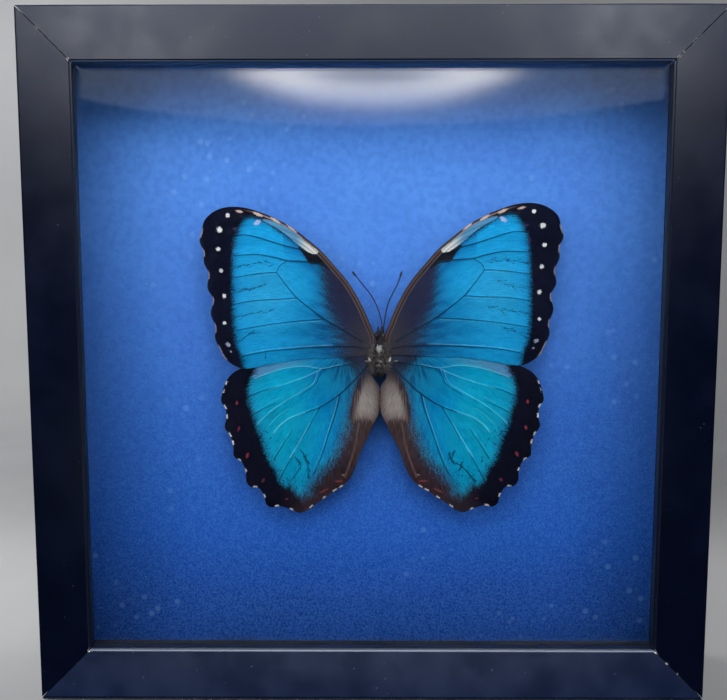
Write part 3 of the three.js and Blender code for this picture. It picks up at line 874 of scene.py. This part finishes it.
def fore_fields(points, margin, outline, side):
    """Pattern of a forewing with its painted highlights and painted crease shade, as the values that
    wing_look() reads at each point.
    """
    count = len(points)
    x, z = points.T
    reach = np.hypot(x, z)
    bend = 25 * np.tanh(x / 25)
    flow = 25 * (z + 0.004 * np.maximum(x - 25, 0) ** 2) / np.maximum(bend, 2)
    softness = 2.4 + 2.6 * near(points, 10, 0, 22) - 1.2 * smooth_step(30, 40, reach)
    depth = region_depth(points, FORE_FIELD)
    field = painted(
        count, (12, 146, 204),
        (0.55 * near(points, 42, 20, 20), (52, 166, 216)),
        (0.9 * near(points, 17, 5, 24), (0, 68, 124)),
        (0.7 * (1 - smooth_step(0, 7, depth)) * (x < 34), (0, 92, 160)),
        (0.8 * (1 - smooth_step(-2, 9, depth)) * smooth_step(30, 18, x), (14, 50, 90)),
        (0.35 * smooth_step(42, 52, x), (4, 138, 202)),
        (0.25 * smooth_step(1, 12, line_field(points, FORE_DARK)), (44, 170, 216)),
        (0.5 * (1 - smooth_step(0, 3.5, depth)) * (x > 40), (4, 104, 156)),
    )
    second = paint(field, 0.6, srgb(30, 152, 202))

    bar = region_depth(points, FORE_BAR)
    costa = costa_distance(points, outline)
    inner = smooth_step(30, 24, x)
    ground = painted(
        count, (1, 4, 26),
        (smooth_step(30, 18, x) * smooth_step(40, 33, reach), (28, 32, 56)),
        (near(points, 0, 0, 20), (54, 50, 54)),
        (smooth_step(-0.6, 0.6, bar), (7, 12, 22)),
        (inner * smooth_step(2.2, 1.6, costa), (27, 25, 34)),
        (inner * smooth_step(0.25, 0.45, costa) * smooth_step(1.15, 0.85, costa), (86, 64, 54)),
        (0.7 * inner * smooth_step(0.35, 0.1, np.abs(costa - 1.75)), (92, 80, 78)),
        ((1 - inner) * smooth_step(0.3, 0.1, np.abs(costa - 0.75)) * smooth_step(50, 40, x), (140, 104, 88)),
    )
    edge = depth / softness - 3 * smooth_step(-0.5, 0.3, bar)
    edge = np.where((costa < 2.6) & (x < 30), np.minimum(edge, -2), edge)

    marks, tints = mark_fields(points, FORE_MARKS)
    silver = painted(
        count, (72, 134, 172),
        (smooth_step(30, 24.5, x), (204, 204, 198)),
        (0.6 * smooth_step(0.2, 0.8, np.sin(flow * 3.1)), (70, 86, 104)),
    )
    add_region(marks, tints, 1 - region_depth(points, FORE_WEDGE, 0.8) / 0.45, silver)
    fringe(points, margin, FORE_NOTCHES, 1.5, 0.32, marks, tints, srgb(176, 150, 136))
    random = np.random.default_rng(SEED + len(side))
    # The creases and the strokes that fray them are painted shade in the folds; the scratches are real
    # damage to the scales.
    rubbed = FORE_CREASE_SHADE + feathers(FORE_CREASE_SHADE, random) + FORE_SCRATCHES[side]
    return dict(flow=flow, reach=reach, edge=edge, field=field, second=second, ground=ground,
                dark=line_field(points, FORE_DARK + rubbed), light=line_field(points, FORE_PAINTED_HIGHLIGHTS),
                mark=marks, mark_tint=tints)


def hind_fields(points, margin, side):
    """Pattern of a hindwing with its painted highlights and the painted shade beside its lit veins, as the
    values that wing_look() reads at each point.
    """
    count = len(points)
    x, z = points.T
    across, up = (points - HIND_FAN).T
    flow = 30 * np.arctan2(-up, across)
    reach = np.hypot(across, up)
    inner = smooth_step(34, 26, x) * smooth_step(-12, -20, z)
    softness = 1.3 + 1.9 * np.maximum(inner, near(points, 3, -5, 16))
    depth = region_depth(points, HIND_FIELD)
    field = painted(
        count, (0, 158, 200),
        (0.7 * near(points, 36, -26, 18), (0, 164, 196)),
        (0.6 * smooth_step(36, 14, x), (0, 118, 196)),
        (0.9 * near(points, 10, -6, 25), (0, 66, 124)),
        (0.45 * smooth_step(20, 12, x), (18, 96, 152)),
        (0.85 * near(points, 7, -6, 15), (12, 48, 86)),
        (0.35 * smooth_step(38, 48, x), (20, 140, 190)),
        (0.5 * (1 - smooth_step(0, 3.5, depth)), (28, 114, 162)),
    )
    second = paint(field, 0.6, srgb(24, 170, 198))
    lilac = smooth_step(-0.3, 0.5, region_depth(points, HIND_BAND)) * smooth_step(20, 42, x)
    field = paint(field, 0.65 * lilac, srgb(92, 122, 164))
    second = paint(second, 0.7 * lilac, srgb(112, 126, 152))

    brown_tip = smooth_step(38, 24, x) * smooth_step(-38, -48, z)
    brown_inside = smooth_step(30, 18, x) * smooth_step(-6, -16, z)
    # Painted highlight: a pale line along the fold.
    fold_highlight_distance, _ = distance_to_line(points, spline(HIND_FOLD, 1.0))
    ground = painted(
        count, (3, 5, 24),
        (0.9 * np.clip(brown_tip + brown_inside, 0, 1), (46, 32, 37)),
        (near(points, 6, -32, 14), (60, 46, 47)),
        (near(points, 2, -5, 14), (44, 50, 72)),
        (0.34 * smooth_step(0.6, 0.0, fold_highlight_distance), (128, 106, 96)),
    )
    patch = region_depth(points, HIND_PATCH, 0.8)
    grey = painted(
        count, (114, 106, 104),
        (smooth_step(-22, -27, z), (104, 90, 84)),
        (0.6 * near(points, 6.0, -19.5, 6.5), (152, 144, 139)),
        (0.6 * smooth_step(3.2, 0, x), (70, 58, 56)),
        (0.75 * smooth_step(2.2, 0.2, patch), (78, 66, 64)),
        (0.85 * smooth_step(-15, -8, z), (58, 52, 52)),
    )
    ragged = 2.4 * rough(np.column_stack([x * 2.5, z * 0.25]), 1.0, SEED)
    ground = paint(ground, smooth_step(-0.9, 1.1, patch + ragged), grey)
    edge = depth / softness
    edge = np.where(patch > -1, np.minimum(edge, -1.5), edge)

    marks, tints = mark_fields(points, HIND_MARKS)
    fringe(points, margin, HIND_NOTCHES, 0.8, 0.50, marks, tints, srgb(232, 220, 206))
    random = np.random.default_rng(SEED + len(side))
    rubbed = HIND_SCRATCHES[side] + feathers(HIND_SCRATCHES[side], random) + flecks(30, random)
    return dict(flow=flow, reach=reach, edge=edge, field=field, second=second, ground=ground,
                dark=line_field(points, HIND_DARK + rubbed), light=line_field(points, HIND_PAINTED_HIGHLIGHTS),
                mark=marks, mark_tint=tints)


def wing_relief(points, margin, lines, seed):
    """How far each point stands towards the viewer, in millimetres: veins, pleats and soft waves."""
    vein_width, pleat_width, rim_width = 0.28, 5, 6
    distance = np.full(len(points), np.inf)
    for _, _, route in lines:
        distance = np.minimum(distance, distance_to_line(points, spline(route, 0.5))[0])
    ridge = 0.10 * np.exp(-(distance / vein_width) ** 2)
    pleat = 0.08 * np.cos(np.clip(distance / pleat_width, 0, 1) * math.pi)
    pleat *= smooth_step(0, pleat_width, margin)
    waves = 0.22 * rough(points, 13.0, seed) + 0.06 * rough(points, 3.5, seed + 5)
    return ridge + pleat + waves - 0.25 * smooth_step(rim_width, 0, margin)


def wing_outline(kind, side):
    """A CAD wing's margin on the drawing, drawn in a little by the head and where the hindwings meet."""
    outline = spline(to_drawing(cad_front_outline(f"{kind}_{side}"), side, kind), WING_STEP, closed=True)
    across, up = outline.T
    if kind == "forewing":
        drawn_in = smooth_step(10.5, 4.5, up) * smooth_step(1.0, 3.0, up) * (across < 8)
    else:
        drawn_in = smooth_step(-9.5, -13, up) * smooth_step(-27, -20, up) * (across < 3.5)
        drawn_in = drawn_in * np.clip(across, 0, 1.0)
    return outline - np.column_stack([drawn_in, np.zeros(len(up))])


def build_wing(kind, side, material):
    node = f"{kind}_{side}"
    outline = wing_outline(kind, side)
    lines = FORE_DARK if kind == "forewing" else HIND_DARK + HIND_PAINTED_HIGHLIGHTS[:4]
    points, triangles = wing_triangles(outline, lines)
    margin = np.abs(depth_inside(points, outline[::3]))
    relief = wing_relief(points, margin, lines, SEED + len(node))
    if kind == "forewing":
        fields = fore_fields(points, margin, outline, side)
    else:
        fields = hind_fields(points, margin, side)
        relief += 0.15 * smooth_step(-9, -3, points[:, 1])
    place = to_frame(points, side, kind)
    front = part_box(node)[0].y - relief * MM
    back = front + WING_THICKNESS * MM
    vertices = np.vstack([np.column_stack([place[:, 0], y, place[:, 1]]) for y in (front, back)])
    faces = sheet_faces(triangles if side == "right" else triangles[:, ::-1], len(points))
    doubled = {key: np.concatenate([value, value]) for key, value in fields.items()}
    doubled["edge"][len(points):] = NO_FIELD
    doubled["mark"][len(points):] = NO_MARK
    doubled["ground"][len(points):] = srgb(74, 56, 44)
    wing = make_object(node + "_scales", vertices, faces, material, **doubled)
    finish_piece(wing, node)


# ------------------------------------------------------------------ body

def scatter(mesh, count, random):
    """Random places on a mesh, spread by area, with the surface's direction at each."""
    corners, normals, areas = [], [], []
    for face in mesh.polygons:
        corners.append([mesh.vertices[index].co for index in face.vertices][:3])
        normals.append(face.normal)
        areas.append(face.area)
    corners, normals = np.array(corners), np.array(normals)
    chosen = random.choice(len(areas), count, p=np.array(areas) / sum(areas))
    first, second = random.random(count), random.random(count)
    flip = first + second > 1
    first[flip], second[flip] = 1 - first[flip], 1 - second[flip]
    a, b, c = corners[chosen, 0], corners[chosen, 1], corners[chosen, 2]
    return a + (b - a) * first[:, None] + (c - a) * second[:, None], normals[chosen]


def hairs(roots, directions, lengths, widths, droop):
    """Vertices and faces of tapered three-sided hairs that bend along a common direction."""
    count = len(roots)
    ahead = directions / np.linalg.norm(directions, axis=1)[:, None]
    aside = np.cross(ahead, (0.31, 0.17, 0.93))
    aside /= np.linalg.norm(aside, axis=1)[:, None]
    other = np.cross(ahead, aside)
    rings = []
    for share, size in ((0.0, 1.0), (0.55, 0.8)):
        middle = roots + ahead * (lengths * share)[:, None] + droop * (lengths * share ** 2)[:, None]
        for turn in (0, 2 * math.pi / 3, 4 * math.pi / 3):
            spoke = aside * math.cos(turn) + other * math.sin(turn)
            rings.append(middle + spoke * (widths * size / 2)[:, None])
    tips = roots + ahead * lengths[:, None] + droop * lengths[:, None]
    vertices = np.stack(rings + [tips], axis=1).reshape(-1, 3)
    pattern = [(0, 1, 4, 3), (1, 2, 5, 4), (2, 0, 3, 5), (3, 4, 6), (4, 5, 6), (5, 3, 6)]
    starts = range(0, HAIR_CORNERS * count, HAIR_CORNERS)
    return vertices, [tuple(start + corner for corner in face) for start in starts for face in pattern]


def core_of(node, scale):
    """A copy of a CAD node's mesh, shrunk about its middle, as vertices and faces."""
    mesh = nodes[node].data
    vertices = np.array([vertex.co for vertex in mesh.vertices])
    middle = (vertices.min(0) + vertices.max(0)) / 2
    return middle + (vertices - middle) * scale, [tuple(face.vertices) for face in mesh.polygons]


def joined(parts):
    """Vertices, faces, colours and dullness of several parts as one mesh."""
    vertices, faces, tints, dulls, start = [], [], [], [], 0
    for part_vertices, part_faces, tint, dull in parts:
        vertices.append(part_vertices)
        faces += [tuple(start + corner for corner in face) for face in part_faces]
        tints.append(tint)
        dulls.append(np.full(len(part_vertices), dull))
        start += len(part_vertices)
    return np.vstack(vertices), faces, np.vstack(tints), np.concatenate(dulls)


def hair_sizes(random, count, lengths, widths):
    """Random lengths and widths in metres, between limits in millimetres."""
    return random.uniform(*lengths, count) * MM, random.uniform(*widths, count) * MM


def hair_part(roots, aim, sizes, droop, tones, dull):
    """Hairs as a part for joined(), with one colour each."""
    vertices, faces = hairs(roots, aim, *sizes, np.array(droop))
    return vertices, faces, np.repeat(tones, HAIR_CORNERS, axis=0), dull


def by_body_point(across, depth, up):
    """Places in metres, given in millimetres across and up from the body point."""
    return np.column_stack([across, depth, up]) * MM + (BODY[0], 0, BODY[1])


def coat_hairs(random, low, high):
    """The thorax's own coat, combed down, in pale and dark clumps."""
    count = 9000
    roots, normals = scatter(nodes["thorax"].data, count, random)
    lean = np.column_stack([normals[:, 0] * -0.2, normals[:, 1] * 0.5, -0.9 + 0 * normals[:, 2]])
    aim = normals * 0.6 + lean + random.normal(0, 0.3, (count, 3))
    lengths, widths = hair_sizes(random, count, (0.6, 1.3), (0.13, 0.26))
    lengths *= np.where(roots[:, 2] < low.z + 0.002, 0.6, 1.0)
    clumps = rough(roots[:, [0, 2]] / MM, 0.9, SEED) * 1.6 + random.normal(0, 0.2, count)
    tones = painted(
        count, (65, 61, 62),
        (np.clip(clumps * 1.3, 0, 1), (131, 124, 119)),
        (np.clip(-clumps * 1.5, 0, 1), (18, 18, 28)),
        ((roots[:, 2] > high.z - 0.0025) * 0.5, (70, 68, 70)),
    )
    return hair_part(roots - normals * COAT_SUNK, aim, (lengths, widths), (0, 0.1, -0.25), tones, 0.75)


def collar_hairs(random):
    """Dark hair that fills the neck between the thorax and the head."""
    count = 1300
    up = random.uniform(1.4, 4.6, count)
    across = random.uniform(-1, 1, count) * (2.3 - 0.24 * up)
    roots = by_body_point(across, random.uniform(-1.0, 1.2, count), up)
    aim = np.column_stack([across * 0.25, np.full(count, -0.25), np.ones(count)])
    aim = aim + random.normal(0, 0.3, (count, 3))
    sizes = hair_sizes(random, count, (0.7, 1.3), (0.08, 0.15))
    tones = painted(count, (20, 22, 34), (random.random(count), (60, 58, 62)))
    return hair_part(roots, aim, sizes, (0, 0.1, 0), tones, 0.8)


def root_hairs(side, random):
    """Long dark hair that runs from one flank of the thorax out over the roots of the wings."""
    count = 420
    up = random.uniform(-7.5, 2.6, count)
    across = 3.1 * np.sqrt(np.clip(1 - ((up + 3.2) / 6.4) ** 2, 0.1, 1)) * random.uniform(0.75, 1.0, count)
    roots = by_body_point(side * across, random.uniform(-1.5, -0.9, count), up)
    aim = np.column_stack([np.full(count, side * 1.0), np.full(count, 0.1), (up + 2.6) / 6])
    aim = aim + random.normal(0, 0.12, (count, 3))
    sizes = hair_sizes(random, count, (0.8, 2.8), (0.08, 0.15))
    tones = painted(
        count, (52, 48, 54),
        (random.random(count), (92, 86, 88)),
        ((random.random(count) > 0.95) * 0.6, (130, 124, 122)),
    )
    return hair_part(roots, aim, sizes, (0, 0.05, -0.05), tones, 0.8)


def tuft_hairs(tuft, front, random):
    """One pale tuft on the front of the thorax."""
    x, z, wide, tall, count, tilt, colour = tuft
    across = random.normal(0, wide / 2, count)
    up = random.normal(0, tall / 2, count)
    roots = by_body_point(x + across, np.full(count, front / MM), z + up)
    angle = math.radians(tilt)
    aim = np.tile([math.cos(angle), -0.35, math.sin(angle)], (count, 1)) + random.normal(0, 0.2, (count, 3))
    sizes = hair_sizes(random, count, (0.7, 1.4), (0.09, 0.16))
    tones = painted(count, colour, (random.random(count) * 0.3, (90, 84, 76)))
    return hair_part(roots, aim, sizes, (0, 0.3, 0), tones, 0.6)


def build_thorax(material):
    random = np.random.default_rng(SEED)
    low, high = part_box("thorax")
    core, faces = core_of("thorax", THORAX_CORE)
    parts = [(core, faces, colour_fill(len(core), srgb(24, 22, 20)), 0.9)]
    parts.append(coat_hairs(random, low, high))
    parts.append(collar_hairs(random))
    parts += [root_hairs(side, random) for side in (-1, 1)]
    parts += [tuft_hairs(tuft, low.y + HAIR_SUNK, random) for tuft in BODY_TUFTS]
    vertices, faces, tints, dulls = joined(parts)
    thorax = make_object("thorax_fur", vertices, faces, material, tint=tints, dull=dulls)
    finish_piece(thorax, "thorax")


def ball(middle, radii):
    """A closed ellipsoid as vertices and faces."""
    turns, rows = 24, 14
    vertices = [np.array([0, 0, -1.0])]
    for row in range(1, rows):
        tilt = math.pi * row / rows - math.pi / 2
        wide = math.cos(tilt)
        for turn in range(turns):
            angle = 2 * math.pi * turn / turns
            vertices.append(np.array([math.cos(angle) * wide, math.sin(angle) * wide, math.sin(tilt)]))
    vertices.append(np.array([0, 0, 1.0]))
    faces = []
    for turn in range(turns):
        after = (turn + 1) % turns
        faces.append((0, 1 + after, 1 + turn))
        for row in range(rows - 2):
            start = 1 + row * turns
            faces.append((start + turn, start + after, start + turns + after, start + turns + turn))
        last = 1 + (rows - 2) * turns
        faces.append((last + turn, last + after, len(vertices) - 1))
    return np.array(middle) + np.array(vertices) * radii, faces


def build_head(material):
    """Head with two glossy eyes, two palps and short dark hair."""
    random = np.random.default_rng(SEED + 1)
    low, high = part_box("head")
    middle = np.array((low + high) / 2)
    core, faces = core_of("head", HEAD_CORE)
    parts = [(core, faces, colour_fill(len(core), srgb(14, 14, 20)), 0.7)]
    for side in (-1, 1):
        for place, radii, colour, dull in (
            ((side * 1.05, -0.35, 0.1), (0.75, 0.95, 1.0), (16, 16, 30), 0.16),
            ((side * 0.85 + 0.35, -0.6, 2.0), (0.38, 0.4, 1.3), (13, 14, 24), 0.55),
        ):
            vertices, faces = ball(middle + np.array(place) * MM, np.array(radii) * MM)
            parts.append((vertices, faces, colour_fill(len(vertices), srgb(*colour)), dull))
    count = 1500
    roots, normals = scatter(nodes["head"].data, count, random)
    sizes = hair_sizes(random, count, (0.35, 0.8), (0.05, 0.1))
    aim = normals + np.array([0, -0.2, 0.3]) + random.normal(0, 0.3, (count, 3))
    tones = painted(count, (14, 15, 22), (random.random(count), (46, 46, 46)))
    parts.append(hair_part(roots - normals * HAIR_SUNK, aim, sizes, (0, 0, 0), tones, 0.7))
    vertices, faces, tints, dulls = joined(parts)
    head = make_object("head_and_eyes", vertices, faces, material, tint=tints, dull=dulls)
    finish_piece(head, "head")


# ------------------------------------------------------------------ glazing

def build_glazing(material):
    """The clear sheet, bowed towards the viewer inside its margin."""
    low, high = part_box("glazing")
    middle, half = (low + high) / 2, (high - low) / 2
    flat_x, flat_z = half.x - GLAZING_MARGIN, half.z - GLAZING_MARGIN
    shares = np.linspace(-1, 1, GLAZING_CELLS - 1)
    vertices = []
    for y in (low.y, high.y):
        for z in (-half.z, *shares * flat_z, half.z):
            for x in (-half.x, *shares * flat_x, half.x):
                bow = max(0, 1 - (x / flat_x) ** 2) * max(0, 1 - (z / flat_z) ** 2)
                vertices.append((middle.x + x, y - GLAZING_BOW * bow, middle.z + z))
    faces = sheet_faces(grid_faces(GLAZING_CELLS, GLAZING_CELLS), len(vertices) // 2)
    glazing = make_object("bowed_glazing", vertices, faces, material)
    for face in glazing.data.polygons:
        corners = [vertices[index] for index in face.vertices]
        past = max(max(abs(x - middle.x) - half.x, abs(z - middle.z) - half.z) for x, _, z in corners)
        face.use_smooth = past < -GLAZING_MARGIN / 2
    finish_piece(glazing, "glazing")


# ------------------------------------------------------------------ scene

def dress_cad_nodes():
    """Finishes for the CAD nodes whose shape stays."""
    looks = {
        "rail": foil_look(), "backing_paper": paper_look(), "backing_board": board_look(),
        "spacer": card_look(), "mounting_pad": foam_look(), "tab": steel_look(), "antenna": horn_look(),
    }
    looks["hanger"] = looks["tab"]
    for name, piece in nodes.items():
        for start, material in looks.items():
            if name.startswith(start):
                piece.data.materials.clear()
                piece.data.materials.append(material)


def add_area_light(name, place, target, size, radiance, lit=(), colour=(1, 1, 1)):
    """A rectangular softbox of the given brightness, hidden from the camera itself.

    It shines on the lit pieces only, or on everything where none are given.
    """
    light = bpy.data.lights.new(name, "AREA")
    light.shape = "RECTANGLE"
    light.size, light.size_y = size
    light.energy = radiance * size[0] * size[1] * math.pi
    light.color = colour
    lamp = bpy.data.objects.new(name, light)
    lamp.location = place
    lamp.rotation_euler = (Vector(target) - Vector(place)).to_track_quat("-Z", "Y").to_euler()
    lamp.visible_camera = False
    bpy.context.scene.collection.objects.link(lamp)
    if lit:
        light_only(lamp, lit)
    return lamp


def light_only(lamp, pieces):
    """Let a lamp shine on the given pieces and nothing else."""
    lit = bpy.data.collections.new(lamp.name + "_receivers")
    for piece in pieces:
        lit.objects.link(piece)
    lamp.light_linking.receiver_collection = lit


def window_glow(x, z):
    """Brightness of the studio window at a place on it: a wide dim sheet with a bright bowed strip."""
    edge = z - WINDOW_SILL
    sheet = (0.55 + 0.15 * smooth_step(0, 0.04, edge)) * smooth_step(-0.003, 0.005, edge)
    sheet = sheet * (1 - smooth_step(0.45, 0.75, np.abs(x)))
    aside = x - WINDOW_STRIP[0]
    from_arc = z - WINDOW_STRIP[1] - 1.1 * aside ** 2
    spread = np.where(from_arc < 0, 0.025, 0.022)
    reach = np.abs(aside)
    along = (1 + 0.4 * smooth_step(0.03, 0.12, reach)) * (1 - smooth_step(0.15, 0.25, reach))
    return sheet + 4.8 * np.exp(-(from_arc / spread) ** 2) * along


def add_window():
    """The window that the glazing reflects, hidden from the camera itself."""
    columns = np.linspace(-WINDOW_HALF, WINDOW_HALF, WINDOW_COLUMNS + 1)
    fine = np.linspace(WINDOW_FOOT, WINDOW_FINE, 65)
    rows = np.concatenate([fine, np.linspace(WINDOW_FINE + 0.02, WINDOW_TOP, 8)])
    across, up = np.meshgrid(columns, rows)
    vertices = np.column_stack([across.ravel(), np.full(across.size, WINDOW_Y), up.ravel()])
    look = Look("window_glow", Roughness=1.0)
    glow = look.attribute("glow")
    look.drive("Base Color", look.mix(look.ramp(look.noise(4), 0.3, 0.7), (0, 0, 0), (0.01, 0.01, 0.01)))
    look.drive("Emission Color", look.mix(look.ramp(glow, 0.0, 3.0), (0.82, 0.95, 1.1), (1, 1, 1)))
    look.drive("Emission Strength", glow)
    faces = grid_faces(WINDOW_COLUMNS, len(rows) - 1)
    brightness = window_glow(across.ravel(), up.ravel())
    window = make_object("window", vertices, faces, look.material, glow=brightness)
    window.visible_camera = False
    window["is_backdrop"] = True
    return window


def add_lights():
    """Lamps for the frame's front, for what is inside it and for its back, and then those of the stage."""
    scene = bpy.context.scene
    pieces = [piece for piece in scene.objects if piece.type == "MESH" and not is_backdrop(piece)]
    rails = [piece for piece in pieces if piece.name.startswith("rail")]
    inner = [piece for piece in pieces if piece not in rails]
    back = [piece for piece in inner if piece.name.startswith(("backing_board", "tab", "hanger"))]

    add_area_light("overhead", (0, -0.21, 0.40), (0, -0.01, 0.10), (0.40, 0.18), 11.4, inner)
    add_area_light("front_high", (0, -0.60, 0.60), (0, 0, 0.12), (0.5, 0.10), 8, inner)
    for side, radiance in ((-1, 15.2), (1, 10.8)):
        place, target = (side * 0.50, -0.40, 0.19), (side * 0.02, 0, 0.12)
        add_area_light("side", place, target, (0.3, 0.24), radiance, inner)
    light_only(add_window(), [piece for piece in inner if piece.name == "bowed_glazing"])

    place, target = (0, -0.16, 0.42), (0, -0.02, 0.12)
    add_area_light("rail_overhead", place, target, (0.36, 0.24), 3.6, rails, (0.8, 0.9, 1.1))
    for side, radiance, lit in ((-1, 15.5, rails), (0, 6.5, [nodes["rail_top"]]), (1, 14, rails)):
        place, target = (side * 0.26, -0.55, 0.46), (side * 0.10, -0.02, 0.22)
        add_area_light("rail_sheen", place, target, (0.18, 0.14), radiance, lit, (0.9, 0.95, 1.05))
    for rail, radiance in (("rail_bottom", 38), ("rail_left", 1.2), ("rail_right", 0.4)):
        place, target = (0, -0.32, 0.03), (0, -0.02, 0.01)
        add_area_light("rail_foot", place, target, (0.4, 0.05), radiance, [nodes[rail]], (0.85, 0.96, 0.94))
    add_area_light("behind", (0, 0.55, 0.45), (0, 0, 0.11), (0.5, 0.4), 6, back + rails)

    add_area_light("backdrop_left", (-0.5, 0.25, 0.55), (-0.3, 0.75, 0.1), (0.4, 0.4), 5.0)
    add_area_light("backdrop_right", (0.6, 0.25, 0.55), (0.5, 0.75, 0.2), (0.3, 0.3), 3.4)
    for name, side, radiance in (("floor_left", -1, 1.5), ("floor_right", 1, 1.05)):
        place, target = (side * 0.34, 0.06, 0.42), (side * 0.22, 0.0, 0.0)
        lamp = add_area_light(name, place, target, (0.22, 0.22), radiance)
        lamp.data.spread = math.radians(70)
    world = bpy.data.worlds.new("studio")
    world.use_nodes = True
    background = world.node_tree.nodes["Background"]
    background.inputs["Color"].default_value = (0.6, 0.8, 1.2, 1.0)
    background.inputs["Strength"].default_value = 0.008
    scene.world = world


def add_stage():
    """A pale floor, just under the frame, that curves up into a backdrop."""
    width, front, back, radius, top, gap = 3.0, -4.0, 0.75, 0.25, 1.4, 0.0002
    bend_steps = 12
    profile = [(front, 0.0)]
    for step in range(bend_steps + 1):
        angle = math.pi / 2 * step / bend_steps
        profile.append((back - radius + radius * math.sin(angle), radius - radius * math.cos(angle)))
    profile.append((back, top))
    vertices = [(side * width / 2, y, z - gap) for y, z in profile for side in (-1, 1)]
    look = Look("pale_sweep", Roughness=0.7)
    look.drive("Base Color", look.shift(look.noise(6, 3), 0.3, 0.7, (196, 197, 200), (206, 207, 209)))
    sweep = make_object("sweep", vertices, grid_faces(1, len(profile) - 1), look.material)
    sweep.visible_glossy = False
    sweep.visible_transmission = False
    sweep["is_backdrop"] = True


def add_camera():
    camera = bpy.data.objects.new("camera", bpy.data.cameras.new("camera"))
    camera.location = CAMERA_PLACE
    camera.rotation_euler = (math.radians(90 - CAMERA_DOWN), 0, math.radians(CAMERA_LEFT))
    camera.data.sensor_fit = "HORIZONTAL"
    camera.data.sensor_width = CAMERA_SENSOR
    camera.data.lens = CAMERA_LENS
    camera.data.shift_y = CAMERA_SHIFT
    camera.data.clip_start = 0.01
    bpy.context.scene.collection.objects.link(camera)
    bpy.context.scene.camera = camera


add_camera()
add_stage()
dress_cad_nodes()
build_glazing(glass_look())
wing_scales = wing_look()
for kind in ("forewing", "hindwing"):
    for side in ("left", "right"):
        build_wing(kind, side, wing_scales)
body_hair = hair_look()
build_thorax(body_hair)
build_head(body_hair)
add_lights()

bpy.context.scene.view_settings.view_transform = "Standard"
bpy.context.view_layer.update()
